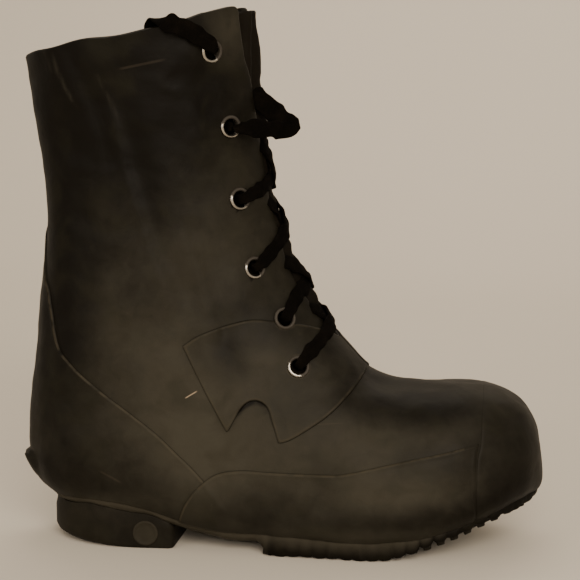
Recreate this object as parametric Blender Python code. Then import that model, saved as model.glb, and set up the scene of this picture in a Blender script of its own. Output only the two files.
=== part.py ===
"""Insulated rubber cold-weather boot, right foot, with its laces.

The boot stands on the plane z = 0 with its toe towards +X. Its outer (lateral) side faces -Y and its
inner (medial) side faces +Y. Everything is worked out in millimetres from the table of sections below,
and turned into metres when a mesh is made.
"""

import math

import bmesh
import bpy
import numpy as np

MM = 0.001

# Where the middle of the boot's box in plan lies in the sections' own frame, so that it becomes the origin.
MIDDLE_X = 166.0
MIDDLE_Y = -1.5

# Sections of the boot's outside, from the tip of the toe over the instep to the collar.
# A section is a closed oval in a plane square to the boot's centre plane. It runs from a low point (sole,
# heel, back of the shaft) to a high point (toe cap, instep, front of the shaft). lateral and medial are its
# half widths, swing moves its middle towards the big toe, belly says how far up it is widest, and the two
# powers say how square it is below and above that (2 is an ellipse).
SECTION_COLUMNS = (
    "lowX",
    "lowZ",
    "highX",
    "highZ",
    "lateral",
    "medial",
    "swing",
    "belly",
    "lowPower",
    "highPower",
    "wall",
)
SECTIONS = (
    (329.0, 46.5, 329.0, 46.5, 0.0, 0.0, 6.0, 0.46, 2.2, 2.0, 11.0),
    (327.8, 38.2, 327.8, 59.2, 13.2, 13.2, 6.0, 0.44, 2.3, 2.0, 11.0),
    (324.1, 34.3, 324.6, 74.3, 25.5, 24.5, 5.8, 0.42, 2.6, 2.1, 11.5),
    (316.7, 31.2, 317.2, 86.6, 37.0, 35.0, 5.2, 0.40, 3.0, 2.2, 12.0),
    (305.5, 27.1, 306.0, 94.6, 46.5, 43.5, 4.4, 0.38, 3.4, 2.2, 12.0),
    (290.4, 21.5, 291.4, 99.8, 53.7, 50.2, 3.4, 0.37, 3.8, 2.2, 12.0),
    (272.0, 14.5, 274.0, 102.5, 59.0, 54.5, 2.3, 0.37, 4.0, 2.2, 12.0),
    (251.0, 9.0, 256.0, 102.5, 62.0, 57.0, 1.2, 0.36, 4.2, 2.1, 12.0),
    (228.0, 7.0, 237.5, 103.5, 62.5, 57.5, 0.4, 0.35, 4.2, 2.05, 12.0),
    (205.0, 6.8, 221.0, 110.0, 61.5, 55.0, 0.0, 0.33, 4.2, 2.0, 12.0),
    (182.0, 6.8, 208.5, 121.5, 58.5, 50.5, 0.0, 0.31, 4.2, 1.95, 12.0),
    (160.0, 7.0, 198.5, 133.5, 55.5, 47.5, 0.0, 0.30, 4.2, 1.9, 12.0),
    (137.0, 8.0, 190.0, 146.5, 53.0, 45.5, 0.0, 0.30, 4.2, 1.9, 12.0),
    (114.0, 11.5, 182.5, 158.5, 50.5, 45.5, 0.0, 0.31, 4.2, 1.9, 12.0),
    (90.5, 16.0, 176.0, 170.5, 49.0, 46.5, 0.0, 0.33, 4.2, 1.9, 12.0),
    (66.5, 20.3, 170.5, 181.5, 48.3, 47.3, 0.0, 0.36, 4.2, 1.9, 12.0),
    (43.5, 24.2, 166.5, 191.0, 47.8, 47.6, 0.0, 0.40, 4.0, 1.95, 12.0),
    (22.0, 29.0, 163.5, 200.0, 47.5, 47.5, 0.0, 0.43, 3.3, 2.0, 12.0),
    (8.8, 38.8, 161.0, 208.5, 47.3, 47.3, 0.0, 0.45, 2.7, 2.0, 12.0),
    (4.0, 58.5, 159.0, 217.0, 47.0, 47.0, 0.0, 0.46, 2.4, 2.0, 12.0),
    (4.8, 84.0, 157.5, 226.0, 46.6, 46.6, 0.0, 0.47, 2.3, 2.0, 11.5),
    (7.6, 110.0, 156.0, 235.5, 46.2, 46.2, 0.0, 0.48, 2.2, 2.0, 10.5),
    (10.0, 135.0, 154.5, 246.5, 46.0, 46.0, 0.0, 0.48, 2.2, 2.0, 9.5),
    (12.7, 159.5, 153.2, 259.0, 46.0, 46.0, 0.0, 0.48, 2.2, 2.0, 8.5),
    (15.2, 184.0, 152.0, 272.5, 46.2, 46.2, 0.0, 0.48, 2.2, 2.0, 8.0),
    (16.5, 208.0, 151.0, 286.5, 46.8, 46.8, 0.0, 0.48, 2.2, 2.0, 8.0),
    (15.5, 232.0, 150.3, 299.5, 48.0, 48.0, 0.0, 0.48, 2.2, 2.0, 8.0),
    (12.5, 256.0, 149.8, 312.0, 49.5, 49.5, 0.0, 0.48, 2.2, 2.0, 8.0),
    (9.0, 280.0, 149.4, 324.5, 51.2, 51.2, 0.0, 0.48, 2.2, 2.0, 7.5),
    (5.3, 304.0, 149.0, 337.5, 53.0, 53.0, 0.0, 0.48, 2.2, 2.0, 7.0),
)
SECTION_SIDES = 26
HEEL_ROW = 18
SHAFT_ROW = 21
NORMAL_STEPS = (0.05, 1.5)
SHARP_ANGLE = 35.0

# Upper. The wall is thin out to the flap angle, full from the side angle on, and thins over these rows.
BOTTOM_WALL = 3.0
BOTTOM_FACING = (0.8, 0.98)
FLAP_WALL = 4.0
FLAP_ANGLE = 45.0
SIDE_ANGLE = 68.0
FLAP_WALL_ROWS = (7.3, 9.0)

# Throat: half the gap between the flaps at a section row.
THROAT_COLUMNS = ("row", "gap")
THROAT = (
    (10.7, 3.0),
    (11.2, 7.0),
    (12.2, 10.5),
    (13.5, 12.0),
    (15.0, 11.0),
    (16.5, 8.5),
    (18.0, 6.5),
    (20.0, 5.5),
    (21.8, 6.5),
    (23.4, 9.5),
    (25.2, 14.5),
    (26.6, 20.0),
    (29.0, 25.0),
)
THROAT_REACH = 30.0
THROAT_DEPTH = 16.0
BOTTOM_OPENING_START = 34.0
BOTTOM_OPENING_END = 284.0
BOTTOM_OPENING_STEPS = 16
BOTTOM_OPENING_SHARE = 0.6
BOTTOM_OPENING_MARGIN = 5.0

# Pieces lie this far apart, and flat metal on curved rubber a little more.
FIT_GAP = 0.3
EYELET_LIFT = 0.6

# Tools that only cut reach this far past the boot to each side, and the sole's room up to this height.
CUT_REACH = 90.0
CUT_BELOW = -5.0
SOLE_ROOM_HEIGHT = 46.0

# Sole and heel
SOLE_BODY = 3.3
TREAD_DEPTH = 3.2
RIB_START = 154.0
RIB_PITCH = 8.2
RIB_WIDTH = 4.4
RIB_COUNT = 21
RIB_INSET = 1.5
RIB_HEIGHT = 20.0
HEEL_BACK = 18.5
HEEL_BREAST = 100.5
HEEL_HALF_WIDTH = 39.0
HEEL_BACK_ROUND = 40.0
HEEL_ROLL = 24.0
HEEL_ROLL_HEIGHT = 8.0
HEEL_FLARE_SIDE = 0.02
HEEL_ROUND_STEPS = 12
HEEL_LEVELS = (0.0, 0.8, 2.4, 4.8, 8.0, 42.0)
HEEL_SEAT_GAP = 0.5

# Plan of the sole: distance from the heel, half widths on the two sides, middle shifted as the sections are.
SOLE_PLAN_COLUMNS = ("x", "lateral", "medial")
SOLE_PLAN = (
    (17.0, 0.0, 0.0),
    (19.0, 13.0, 13.0),
    (26.0, 25.5, 25.5),
    (40.0, 34.5, 34.5),
    (62.0, 40.0, 39.5),
    (90.0, 41.0, 40.0),
    (112.0, 42.0, 39.0),
    (135.0, 45.0, 39.0),
    (160.0, 48.5, 41.0),
    (185.0, 51.5, 44.5),
    (210.0, 53.5, 48.5),
    (235.0, 54.0, 52.5),
    (260.0, 51.5, 53.5),
    (283.0, 45.0, 51.0),
    (301.0, 36.0, 45.0),
    (314.0, 25.0, 36.0),
    (322.0, 14.0, 25.5),
    (326.0, 3.0, 14.0),
    (327.0, -6.0, 6.0),
)

# Rubber overlays, each as thick as said and cut to a side outline of x and z.
SIDEWALL_THICK = 1.5
TOE_CAP_THICK = 1.2
COUNTER_THICK = 1.3
PATCH_THICK = 1.2
SIDEWALL_OUTLINE = (
    (103.0, 10.0),
    (109.0, 26.0),
    (113.0, 32.5),
    (119.0, 39.5),
    (129.0, 48.0),
    (137.0, 52.0),
    (146.0, 54.5),
    (175.0, 54.5),
    (204.0, 55.5),
    (212.0, 59.0),
    (230.0, 63.0),
    (250.0, 65.5),
    (270.0, 69.5),
    (286.0, 74.5),
    (286.0, 2.0),
    (120.0, 2.0),
)
TOE_CAP_OUTLINE = (
    (287.3, 10.0),
    (287.3, 60.0),
    (290.0, 71.0),
    (294.5, 92.0),
    (297.0, 104.0),
    (298.0, 115.0),
    (345.0, 115.0),
    (345.0, 10.0),
)
COUNTER_OUTLINE = (
    (-20.0, 202.0),
    (16.5, 200.0),
    (18.5, 174.0),
    (23.0, 158.0),
    (29.0, 130.0),
    (39.0, 117.0),
    (55.0, 103.5),
    (73.0, 90.5),
    (92.0, 76.0),
    (107.0, 62.0),
    (120.5, 48.5),
    (117.5, 41.5),
    (112.0, 34.0),
    (107.8, 27.0),
    (101.5, 10.0),
    (60.0, 5.0),
    (-20.0, 5.0),
)
STRAP_LEDGE_OUTLINE = ((-20.0, 43.0), (12.0, 44.0), (25.0, 48.5), (12.0, 51.0), (-20.0, 51.5))
STRAP_LEDGE_PROUD = 4.6
STRAP_LEDGE_INNER = 1.0
PATCH_OUTLINE = (
    (108.0, 130.0),
    (119.0, 137.0),
    (138.0, 143.5),
    (152.0, 145.5),
    (170.0, 143.0),
    (184.0, 140.0),
    (199.0, 133.5),
    (212.0, 122.5),
    (222.0, 113.0),
    (218.0, 109.0),
    (214.0, 104.5),
    (208.0, 98.0),
    (199.0, 89.5),
    (187.0, 81.0),
    (175.0, 74.0),
    (168.0, 72.0),
    (164.0, 84.0),
    (160.5, 93.0),
    (153.0, 97.0),
    (145.5, 93.0),
    (136.0, 77.0),
    (123.0, 100.0),
)
PATCH_CENTRE_MARGIN = 0.5
PATCH_THROAT_MARGIN = 1.0

# Eyelets: section row and angle round the section from the front, for one side, from the bottom pair up.
EYELETS = ((12.0, 45.0), (13.5, 35.0), (16.4, 35.0), (20.6, 35.5), (24.0, 38.0), (27.4, 47.0))
EYELET_RADIUS = 6.6
EYELET_BARREL_RADIUS = 5.1
EYELET_BORE_RADIUS = 4.4
EYELET_RISE = 1.1
EYELET_SIDES = 8
EYELET_HOLE_RADIUS = 5.6
EYELET_HOLE_HEIGHTS = (-7.0, 5.0)
EYELET_ROOM_HEIGHTS = (-6.0, 9.0)
EYELET_SHOULDER = 1.2

# Tongue and insole
TONGUE_THICK = 3.0
TONGUE_COLUMNS = 3
TONGUE_ROWS = (9.9, 28.2)
INSOLE_LEVELS = ((0.0, 0.55), (3.5, 0.88), (8.0, 1.0))
INSOLE_COLUMNS = ("x", "z", "lateral", "medial")
INSOLE_PLAN = (
    (36.0, 30.3, 11.0, 11.0),
    (38.5, 29.5, 16.5, 16.5),
    (42.0, 28.5, 21.0, 21.0),
    (52.0, 26.3, 24.5, 24.5),
    (70.0, 23.2, 27.5, 26.7),
    (95.0, 18.6, 29.0, 27.0),
    (120.0, 14.1, 31.5, 27.7),
    (150.0, 10.9, 36.3, 30.2),
    (180.0, 10.3, 41.3, 34.2),
    (205.0, 10.3, 44.8, 39.0),
    (230.0, 10.9, 45.5, 42.0),
    (250.0, 12.9, 43.8, 42.0),
    (270.0, 18.5, 37.5, 39.0),
    (285.0, 25.4, 31.5, 36.0),
    (296.0, 30.0, 25.5, 31.5),
    (304.0, 33.5, 19.0, 26.5),
    (309.0, 36.0, 12.5, 21.0),
)

# Laces. Routes run through the points in the sections' frame.
LACE_WIDTH = 8.0
LACE_THICK = 1.6
LACE_LIFT = 1.7
PATCH_LACE_LIFT = 3.2
LACE_CORD_RADIUS = 2.0
LACE_POINT_STEP = 8.0
LACE_RIBBON_POINTS = 6
LACE_OVERLAP = 0.6
CROSSING_ROW_SHARES = (0.25, 0.8)
CROSSING_START_SHARE = 0.78
CROSSING_END_ANGLE = 9.0
SIDE_BAR_SHARES = (0.18, 0.82)
ROUTE_SAMPLES = 24
LOOP_ROUTE = (
    (139.1, -28.2, 262.7),
    (141.1, -30.1, 262.7),
    (145.8, -31.8, 262.0),
    (152.5, -28.0, 260.5),
    (160.5, -21.0, 259.3),
    (168.5, -14.5, 259.5),
    (173.5, -10.5, 264.0),
    (170.5, -8.5, 270.5),
    (163.5, -8.0, 275.5),
    (157.0, -8.5, 280.5),
    (152.5, -10.0, 286.0),
)
COLLAR_END_ROUTE = (
    (128.4, -39.3, 308.4),
    (129.4, -41.2, 308.8),
    (127.2, -43.9, 312.0),
    (121.0, -46.0, 317.5),
    (114.0, -48.6, 324.0),
    (107.5, -50.2, 330.0),
    (101.0, -47.4, 331.6),
    (96.0, -40.4, 330.2),
    (92.5, -39.3, 321.0),
    (91.0, -39.5, 310.0),
    (90.0, -39.0, 298.0),
    (89.0, -38.5, 286.0),
)


def sectionTable():
    """The sections with one more row before the toe's tip and one after the collar, for smooth ends."""
    rows = np.array(SECTIONS, dtype=float)
    mirrored = rows[1].copy()
    mirrored[[1, 3]] = 2 * rows[0, 1] - rows[1, [1, 3]]
    mirrored[[4, 5]] = -rows[1, [4, 5]]
    beyond = 2 * rows[-1] - rows[-2]
    return np.vstack([mirrored, rows, beyond])


TABLE = sectionTable()
LAST_ROW = len(SECTIONS) - 1


def smoothBetween(before, here, there, after, t):
    """A value between here and there on a smooth curve through all four."""
    bend = 3 * (here - there) + after - before
    lean = 2 * before - 5 * here + 4 * there - after
    return here + 0.5 * t * (there - before + t * (lean + t * bend))


def sectionAt(row):
    """Sizes of the section at any row number, whole or not, from a smooth curve through the rows."""
    row = np.clip(np.asarray(row, dtype=float), 0.0, LAST_ROW)
    start = np.minimum(np.floor(row).astype(int), LAST_ROW - 1)
    value = smoothBetween(*(TABLE[start + step] for step in range(4)), (row - start)[..., None])
    return dict(zip(SECTION_COLUMNS, np.moveaxis(value, -1, 0)))


def formPoint(row, angle):
    """A point on the boot's outside: angle 0 is the front or top, 180 the back or sole, above 0 medial."""
    size = sectionAt(row)
    turn = np.radians(angle)
    across = np.sin(turn)
    along = np.cos(turn)
    power = np.where(along > 0, size["highPower"], size["lowPower"])
    halfWidth = np.where(across > 0, size["medial"], size["lateral"])
    reach = np.where(along > 0, 1 - size["belly"], size["belly"])
    share = size["belly"] + reach * np.sign(along) * np.abs(along) ** (2 / power)
    y = size["swing"] + halfWidth * np.sign(across) * np.abs(across) ** (2 / power)
    x = size["lowX"] + share * (size["highX"] - size["lowX"])
    z = size["lowZ"] + share * (size["highZ"] - size["lowZ"])
    return np.stack(np.broadcast_arrays(x, y, z), axis=-1)


def formNormal(row, angle):
    """The outward normal of the boot's outside."""
    rowStep, angleStep = NORMAL_STEPS
    row = np.maximum(row, rowStep / 2)
    alongRows = formPoint(np.minimum(row + rowStep, LAST_ROW), angle) - formPoint(row - rowStep, angle)
    around = formPoint(row, angle + angleStep) - formPoint(row, angle - angleStep)
    normal = np.cross(around, alongRows)
    return normal / np.maximum(np.linalg.norm(normal, axis=-1, keepdims=True), 1e-9)


def namedRows(columns, rows):
    """A table's rows with each value under its column's name."""
    return [dict(zip(columns, row)) for row in rows]


def smooth(value, low, high):
    """0 below low, 1 above high, with a soft rise between."""
    t = np.clip((value - low) / (high - low), 0.0, 1.0)
    return t * t * (3 - 2 * t)


def wallAt(row, angle, normal):
    """Wall thickness: full on the sides, thin at the laced flaps and where the sole closes the boot."""
    side = sectionAt(row)["wall"]
    folded = np.abs((np.asarray(angle) + 180.0) % 360.0 - 180.0)
    flap = (1 - smooth(folded, FLAP_ANGLE, SIDE_ANGLE)) * smooth(row, *FLAP_WALL_ROWS)
    bottom = smooth(-normal[..., 2], *BOTTOM_FACING)
    wall = side + (FLAP_WALL - side) * flap
    return wall + (BOTTOM_WALL - wall) * bottom


def skinGrid(rows, angles, offset):
    """Points on a skin at an offset from the boot's outside; offset may be "inside" for the inner wall."""
    rowGrid, angleGrid = np.meshgrid(rows, angles, indexing="ij")
    normal = formNormal(rowGrid, angleGrid)
    if offset == "inside":
        offset = -wallAt(rowGrid, angleGrid, normal)[..., None]
    return formPoint(rowGrid, angleGrid) + normal * offset


def meshObject(name, points, faces):
    """A mesh object from points in the sections' frame, in millimetres."""
    mesh = bpy.data.meshes.new(name)
    shifted = (np.asarray(points, dtype=float) - (MIDDLE_X, MIDDLE_Y, 0.0)) * MM
    mesh.from_pydata(shifted.tolist(), [], faces)
    built = bpy.data.objects.new(name, mesh)
    bpy.context.scene.collection.objects.link(built)
    work = bmesh.new()
    work.from_mesh(mesh)
    bmesh.ops.recalc_face_normals(work, faces=work.faces)
    work.to_mesh(mesh)
    work.free()
    return built


def ringFaces(first, second, count):
    """Triangles between two closed rings, all split the same way so that stacked skins stay parallel."""
    faces = []
    for i in range(count):
        j = (i + 1) % count
        faces += [(first + i, first + j, second + i), (first + j, second + j, second + i)]
    return faces


def sectionRows():
    """Every row over the foot, and every second one up the shaft, which bends less."""
    return np.array([*range(1, SHAFT_ROW), *range(SHAFT_ROW, LAST_ROW + 1, 2)], dtype=float)


def sectionAngles():
    return np.arange(SECTION_SIDES) * 360.0 / SECTION_SIDES


def toePole(offset):
    tip = SECTIONS[0]
    return np.array([tip[0] + offset, tip[6], tip[1]])


def closedForm(name, offset):
    """The whole boot shape as one closed solid, at an offset from its outside."""
    rings = skinGrid(sectionRows(), sectionAngles(), offset)
    count = SECTION_SIDES
    points = [toePole(offset), *rings.reshape(-1, 3)]
    faces = [(0, 1 + i, 1 + (i + 1) % count) for i in range(count)]
    for ring in range(len(rings) - 1):
        faces += ringFaces(1 + ring * count, 1 + (ring + 1) * count, count)
    top = 1 + (len(rings) - 1) * count
    faces.append(tuple(range(top, top + count)))
    return meshObject(name, points, faces)


def hollowForm(name):
    """The boot shape with its wall: outside, collar rim and inside, open at the collar."""
    outer = skinGrid(sectionRows(), sectionAngles(), 0.0)
    inner = skinGrid(sectionRows(), sectionAngles(), "inside")
    count = SECTION_SIDES
    total = 1 + outer.shape[0] * count
    points = [toePole(0.0), *outer.reshape(-1, 3), toePole(-SECTIONS[0][10]), *inner.reshape(-1, 3)]
    faces = []
    for base in (0, total):
        faces += [(base, base + 1 + i, base + 1 + (i + 1) % count) for i in range(count)]
        for ring in range(len(outer) - 1):
            faces += ringFaces(base + 1 + ring * count, base + 1 + (ring + 1) * count, count)
    top = 1 + (len(outer) - 1) * count
    faces += ringFaces(top, total + top, count)
    return meshObject(name, points, faces)


def loft(name, loops):
    """A closed solid through loops of equal length, with flat ends."""
    count = len(loops[0])
    faces = [tuple(range(count))]
    for level in range(len(loops) - 1):
        faces += ringFaces(level * count, (level + 1) * count, count)
    last = (len(loops) - 1) * count
    faces.append(tuple(range(last, last + count)))
    return meshObject(name, np.concatenate([np.asarray(loop, dtype=float) for loop in loops]), faces)


def sidePrism(name, outline, yFrom, yTo):
    """A side outline of x and z, carried across the boot."""
    return loft(name, [[(x, y, z) for x, z in outline] for y in (yFrom, yTo)])


def planPrism(name, outline, zFrom, zTo):
    """A plan outline of x and y, carried upwards."""
    return loft(name, [[(x, y, z) for x, y in outline] for z in (zFrom, zTo)])


def carve(body, tool, operation="DIFFERENCE"):
    """Cut, join or intersect body with tool, which is used up."""
    modifier = body.modifiers.new(operation, "BOOLEAN")
    modifier.operation = operation
    modifier.solver = "EXACT"
    modifier.object = tool
    bpy.context.view_layer.update()
    graph = bpy.context.evaluated_depsgraph_get()
    result = bpy.data.meshes.new_from_object(body.evaluated_get(graph))
    body.modifiers.clear()
    result.name = body.name
    body.data = result
    bpy.data.objects.remove(tool)
    return body


def mergeObjects(name, pieces):
    """Several meshes that don't touch, as one object to cut with."""
    work = bmesh.new()
    for piece in pieces:
        work.from_mesh(piece.data)
        bpy.data.objects.remove(piece)
    mesh = bpy.data.meshes.new(name)
    work.to_mesh(mesh)
    work.free()
    joined = bpy.data.objects.new(name, mesh)
    bpy.context.scene.collection.objects.link(joined)
    return joined


def material(name, colour, roughness, metallic=0.0):
    made = bpy.data.materials.new(name)
    made.use_nodes = True
    shader = made.node_tree.nodes["Principled BSDF"]
    shader.inputs["Base Color"].default_value = (*colour, 1.0)
    shader.inputs["Roughness"].default_value = roughness
    shader.inputs["Metallic"].default_value = metallic
    return made


def finish(piece, name, made):
    """Name a piece, give it its material and shade it smooth between its sharp edges."""
    piece.name = name
    piece.data.materials.clear()
    piece.data.materials.append(made)
    piece.data.shade_smooth()
    piece.data.set_sharp_from_angle(angle=math.radians(SHARP_ANGLE))
    return piece


def eyeletSeat(row, angle):
    """Centre, outward direction and two side directions of an eyelet's place."""
    centre = formPoint(row, angle)
    out = formNormal(row, angle)
    side = np.cross(out, (0.0, 0.0, 1.0))
    side /= np.linalg.norm(side)
    return centre, out, side, np.cross(out, side)


def turned(name, seat, profile, sides):
    """A ring turned round the seat's outward direction from a closed profile of radius and height."""
    centre, out, side, up = seat
    points = []
    for step in range(sides):
        turn = 2 * math.pi * step / sides
        spoke = side * math.cos(turn) + up * math.sin(turn)
        points += [centre + spoke * radius + out * height for radius, height in profile]
    count = len(profile)
    faces = []
    for step in range(sides):
        faces += ringFaces(step * count, (step + 1) % sides * count, count)
    return meshObject(name, points, faces)


def seatCylinder(name, seat, radius, low, high, sides=12):
    centre, out, side, up = seat
    loops = []
    turns = [2 * math.pi * step / sides for step in range(sides)]
    for height in (low, high):
        middle = centre + out * height
        loops.append([middle + (side * math.cos(t) + up * math.sin(t)) * radius for t in turns])
    return loft(name, loops)


def eyeletSeats():
    """Every eyelet's name and seat, on both sides from the bottom pair up."""
    seats = {}
    for number, (row, angle) in enumerate(EYELETS, start=1):
        seats[f"eyelet_lateral_{number}"] = eyeletSeat(row, -angle)
        seats[f"eyelet_medial_{number}"] = eyeletSeat(row, angle)
    return seats


def solePlan(grow=0.0):
    """The sole's outline in plan, from the heel along the lateral side to the toe and back."""
    heel, *between, toe = SOLE_PLAN
    lateral = [(x, -half) for x, half, _ in between]
    medial = [(x, half) for x, _, half in reversed(between)]
    outline = np.array([(heel[0], heel[2]), *lateral, (toe[0], toe[2]), *medial])
    along = np.roll(outline, -1, axis=0) - np.roll(outline, 1, axis=0)
    out = np.stack([along[:, 1], -along[:, 0]], axis=-1)
    return outline + out / np.linalg.norm(out, axis=-1, keepdims=True) * grow


def planHalf(x, column):
    """Half width of the sole on one side at a distance from the heel."""
    rows = np.array(SOLE_PLAN)
    return float(np.interp(x, rows[:, 0], rows[:, SOLE_PLAN_COLUMNS.index(column)]))


def soleLine(x):
    """Height of the boot's lowest line at a distance from the heel."""
    rows = np.array(SECTIONS)[:HEEL_ROW]
    return float(np.interp(x, rows[::-1, 0], rows[::-1, 1]))


def groundLine(x):
    """Height of the tread's lowest line: flat under the ball, rising to the toe."""
    return max(0.0, soleLine(x) - SOLE_BODY - FIT_GAP - TREAD_DEPTH)


def throatRoom(grow=0.0):
    """The room between the laced flaps: narrow at the ankle, wider at the instep and the collar."""
    corners = ((THROAT_REACH, -1), (THROAT_REACH, 1), (-THROAT_DEPTH, 1), (-THROAT_DEPTH, -1))
    loops = []
    for place in namedRows(THROAT_COLUMNS, THROAT):
        front = formPoint(place["row"], 0.0)
        out = formNormal(place["row"], 0.0)
        half = place["gap"] + grow
        loops.append([front + out * reach + (0.0, side * half, 0.0) for reach, side in corners])
    lift = loops[-1][0] - loops[-2][0]
    loops.append([corner + lift for corner in loops[-1]])
    return loft("throat", loops)


def makeUpper(seats):
    upper = hollowForm("upper")
    carve(upper, throatRoom())

    # Opening underneath, inside the margin that the sole closes.
    loops = []
    for x in np.linspace(BOTTOM_OPENING_START, BOTTOM_OPENING_END, BOTTOM_OPENING_STEPS):
        lateral = planHalf(x, "lateral") * BOTTOM_OPENING_SHARE
        medial = planHalf(x, "medial") * BOTTOM_OPENING_SHARE
        low = soleLine(x) - BOTTOM_OPENING_MARGIN
        high = soleLine(x) + BOTTOM_WALL + BOTTOM_OPENING_MARGIN
        loops.append([(x, -lateral, low), (x, medial, low), (x, medial, high), (x, -lateral, high)])
    carve(upper, loft("bottomOpening", loops))

    holes = []
    for seat in seats.values():
        holes.append(seatCylinder("hole", seat, EYELET_HOLE_RADIUS, *EYELET_HOLE_HEIGHTS, EYELET_SIDES))
    return carve(upper, mergeObjects("holes", holes))


def overlay(name, outline, thick, yFrom=-CUT_REACH, yTo=CUT_REACH, inner=FIT_GAP):
    """A rubber skin between two larger forms, inside a side outline."""
    skin = closedForm(name, inner + thick)
    carve(skin, sidePrism("outline", outline, yFrom, yTo), "INTERSECT")
    return carve(skin, closedForm("form", inner))


def clearOfSole(piece):
    """An overlay cut away where the sole lies."""
    return carve(piece, planPrism("soleRoom", solePlan(FIT_GAP), CUT_BELOW, SOLE_ROOM_HEIGHT))


def makeOutsole():
    sole = closedForm("outsole", FIT_GAP + SOLE_BODY)
    carve(sole, planPrism("plan", solePlan(), CUT_BELOW, SOLE_ROOM_HEIGHT), "INTERSECT")
    carve(sole, closedForm("form", FIT_GAP))
    ribs = []
    for index in range(RIB_COUNT):
        x = RIB_START + index * RIB_PITCH
        loops = []
        for edge in (x - RIB_WIDTH / 2, x + RIB_WIDTH / 2):
            low = groundLine(edge)
            high = low + RIB_HEIGHT
            lateral = planHalf(edge, "lateral") - RIB_INSET
            medial = planHalf(edge, "medial") - RIB_INSET
            loops.append([(edge, -lateral, low), (edge, medial, low), (edge, medial, high), (edge, -lateral, high)])
        ribs.append(loft("rib", loops))
    tread = mergeObjects("tread", ribs)
    carve(tread, closedForm("form", FIT_GAP + SOLE_BODY / 2))
    return carve(sole, tread, "UNION")


def heelOutline(height):
    """The heel block's plan at a height: round behind, straight at the breast."""
    lift = 1 - min(1.0, height / HEEL_ROLL_HEIGHT)
    back = HEEL_BACK + HEEL_ROLL * (1 - math.sqrt(1 - lift * lift))
    half = HEEL_HALF_WIDTH + HEEL_FLARE_SIDE * height
    outline = [(HEEL_BREAST, -half, height), (HEEL_BREAST, half, height)]
    for step in range(HEEL_ROUND_STEPS + 1):
        turn = math.pi / 2 + math.pi * step / HEEL_ROUND_STEPS
        x = back + HEEL_BACK_ROUND * (1 + math.cos(turn))
        outline.append((x, half * math.sin(turn), height))
    return outline


def makeHeel():
    heel = loft("heel", [heelOutline(height) for height in HEEL_LEVELS])
    return carve(heel, closedForm("seat", FIT_GAP + SOLE_BODY + HEEL_SEAT_GAP))


def makeCounter():
    counter = clearOfSole(overlay("counter", COUNTER_OUTLINE, COUNTER_THICK))
    proud = STRAP_LEDGE_PROUD - STRAP_LEDGE_INNER
    ledge = overlay("ledge", STRAP_LEDGE_OUTLINE, proud, inner=STRAP_LEDGE_INNER)
    return carve(counter, ledge, "UNION")


def makePatch(sideName, side, seats):
    """The rubber patch under the two lowest eyelets of one side, with room for their flanges."""
    low, high = sorted((side * PATCH_CENTRE_MARGIN, side * CUT_REACH))
    patch = carve(overlay("patch", PATCH_OUTLINE, PATCH_THICK, low, high), throatRoom(PATCH_THROAT_MARGIN))
    rooms = []
    for number in (1, 2):
        seat = seats[f"eyelet_{sideName}_{number}"]
        rooms.append(seatCylinder("room", seat, EYELET_RADIUS + 2 * FIT_GAP, *EYELET_ROOM_HEIGHTS))
    return carve(patch, mergeObjects("rooms", rooms))


def makeEyelet(name, seat):
    high = EYELET_LIFT + EYELET_RISE
    profile = (
        (EYELET_BORE_RADIUS, high),
        (EYELET_RADIUS - EYELET_SHOULDER, high),
        (EYELET_RADIUS, EYELET_LIFT),
        (EYELET_BARREL_RADIUS, EYELET_LIFT),
        (EYELET_BARREL_RADIUS, FIT_GAP - FLAP_WALL),
        (EYELET_BORE_RADIUS, FIT_GAP - FLAP_WALL),
    )
    return turned(name, seat, profile, EYELET_SIDES)


def makeTongue():
    """The gusset behind the throat, lying against the flaps' inner face."""
    step = 360.0 / SECTION_SIDES
    angles = np.arange(-TONGUE_COLUMNS, TONGUE_COLUMNS + 1) * step
    low, high = TONGUE_ROWS
    rows = np.array([*(row for row in sectionRows() if low < row < high), high])
    front = skinGrid(rows, angles, -(FLAP_WALL + FIT_GAP))
    back = skinGrid(rows, angles, -(FLAP_WALL + FIT_GAP + TONGUE_THICK))
    loops = [[*front[i], *back[i][::-1]] for i in range(len(rows))]
    return loft("tongue", loops)


def makeInsole():
    """The insulating footbed that lies in the boot on the margin round the bottom opening."""
    loops = []
    for place in namedRows(INSOLE_COLUMNS, INSOLE_PLAN):
        x, z = place["x"], place["z"]
        left = [(x, -place["lateral"] * share, z + rise) for rise, share in INSOLE_LEVELS]
        right = [(x, place["medial"] * share, z + rise) for rise, share in reversed(INSOLE_LEVELS)]
        loops.append([*left, *right])
    return loft("insole", loops)


def ribbon(name, path, normals):
    """A flat lace along points on the boot, its width lying in the surface."""
    path = np.asarray(path)
    along = np.gradient(path, axis=0)
    across = np.cross(normals, along)
    across /= np.linalg.norm(across, axis=-1, keepdims=True)
    corners = [(a * LACE_WIDTH / 2, b * LACE_THICK / 2) for a, b in ((-1, -1), (1, -1), (1, 1), (-1, 1))]
    loops = []
    for point, side, out in zip(path, across, normals):
        loops.append([point + side * wide + out * high for wide, high in corners])
    return loft(name, loops)


def makeCrossing(number):
    """The two laces that cross over the throat between an eyelet pair and the next one up."""
    lowRow, lowAngle = EYELETS[number - 1]
    highRow, _ = EYELETS[number]
    lowLift = PATCH_LACE_LIFT if number == 1 else LACE_LIFT
    strands = []
    startRow, endRow = (lowRow + share * (highRow - lowRow) for share in CROSSING_ROW_SHARES)
    rows = np.linspace(startRow, endRow, LACE_RIBBON_POINTS)
    for side, lift in ((-1, lowLift), (1, lowLift + LACE_OVERLAP)):
        start = lowAngle * CROSSING_START_SHARE
        angles = side * np.linspace(start, -CROSSING_END_ANGLE, LACE_RIBBON_POINTS)
        normals = formNormal(rows, angles)
        strands.append(ribbon("strand", formPoint(rows, angles) + normals * lift, normals))
    return carve(strands[0], strands[1], "UNION")


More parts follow.
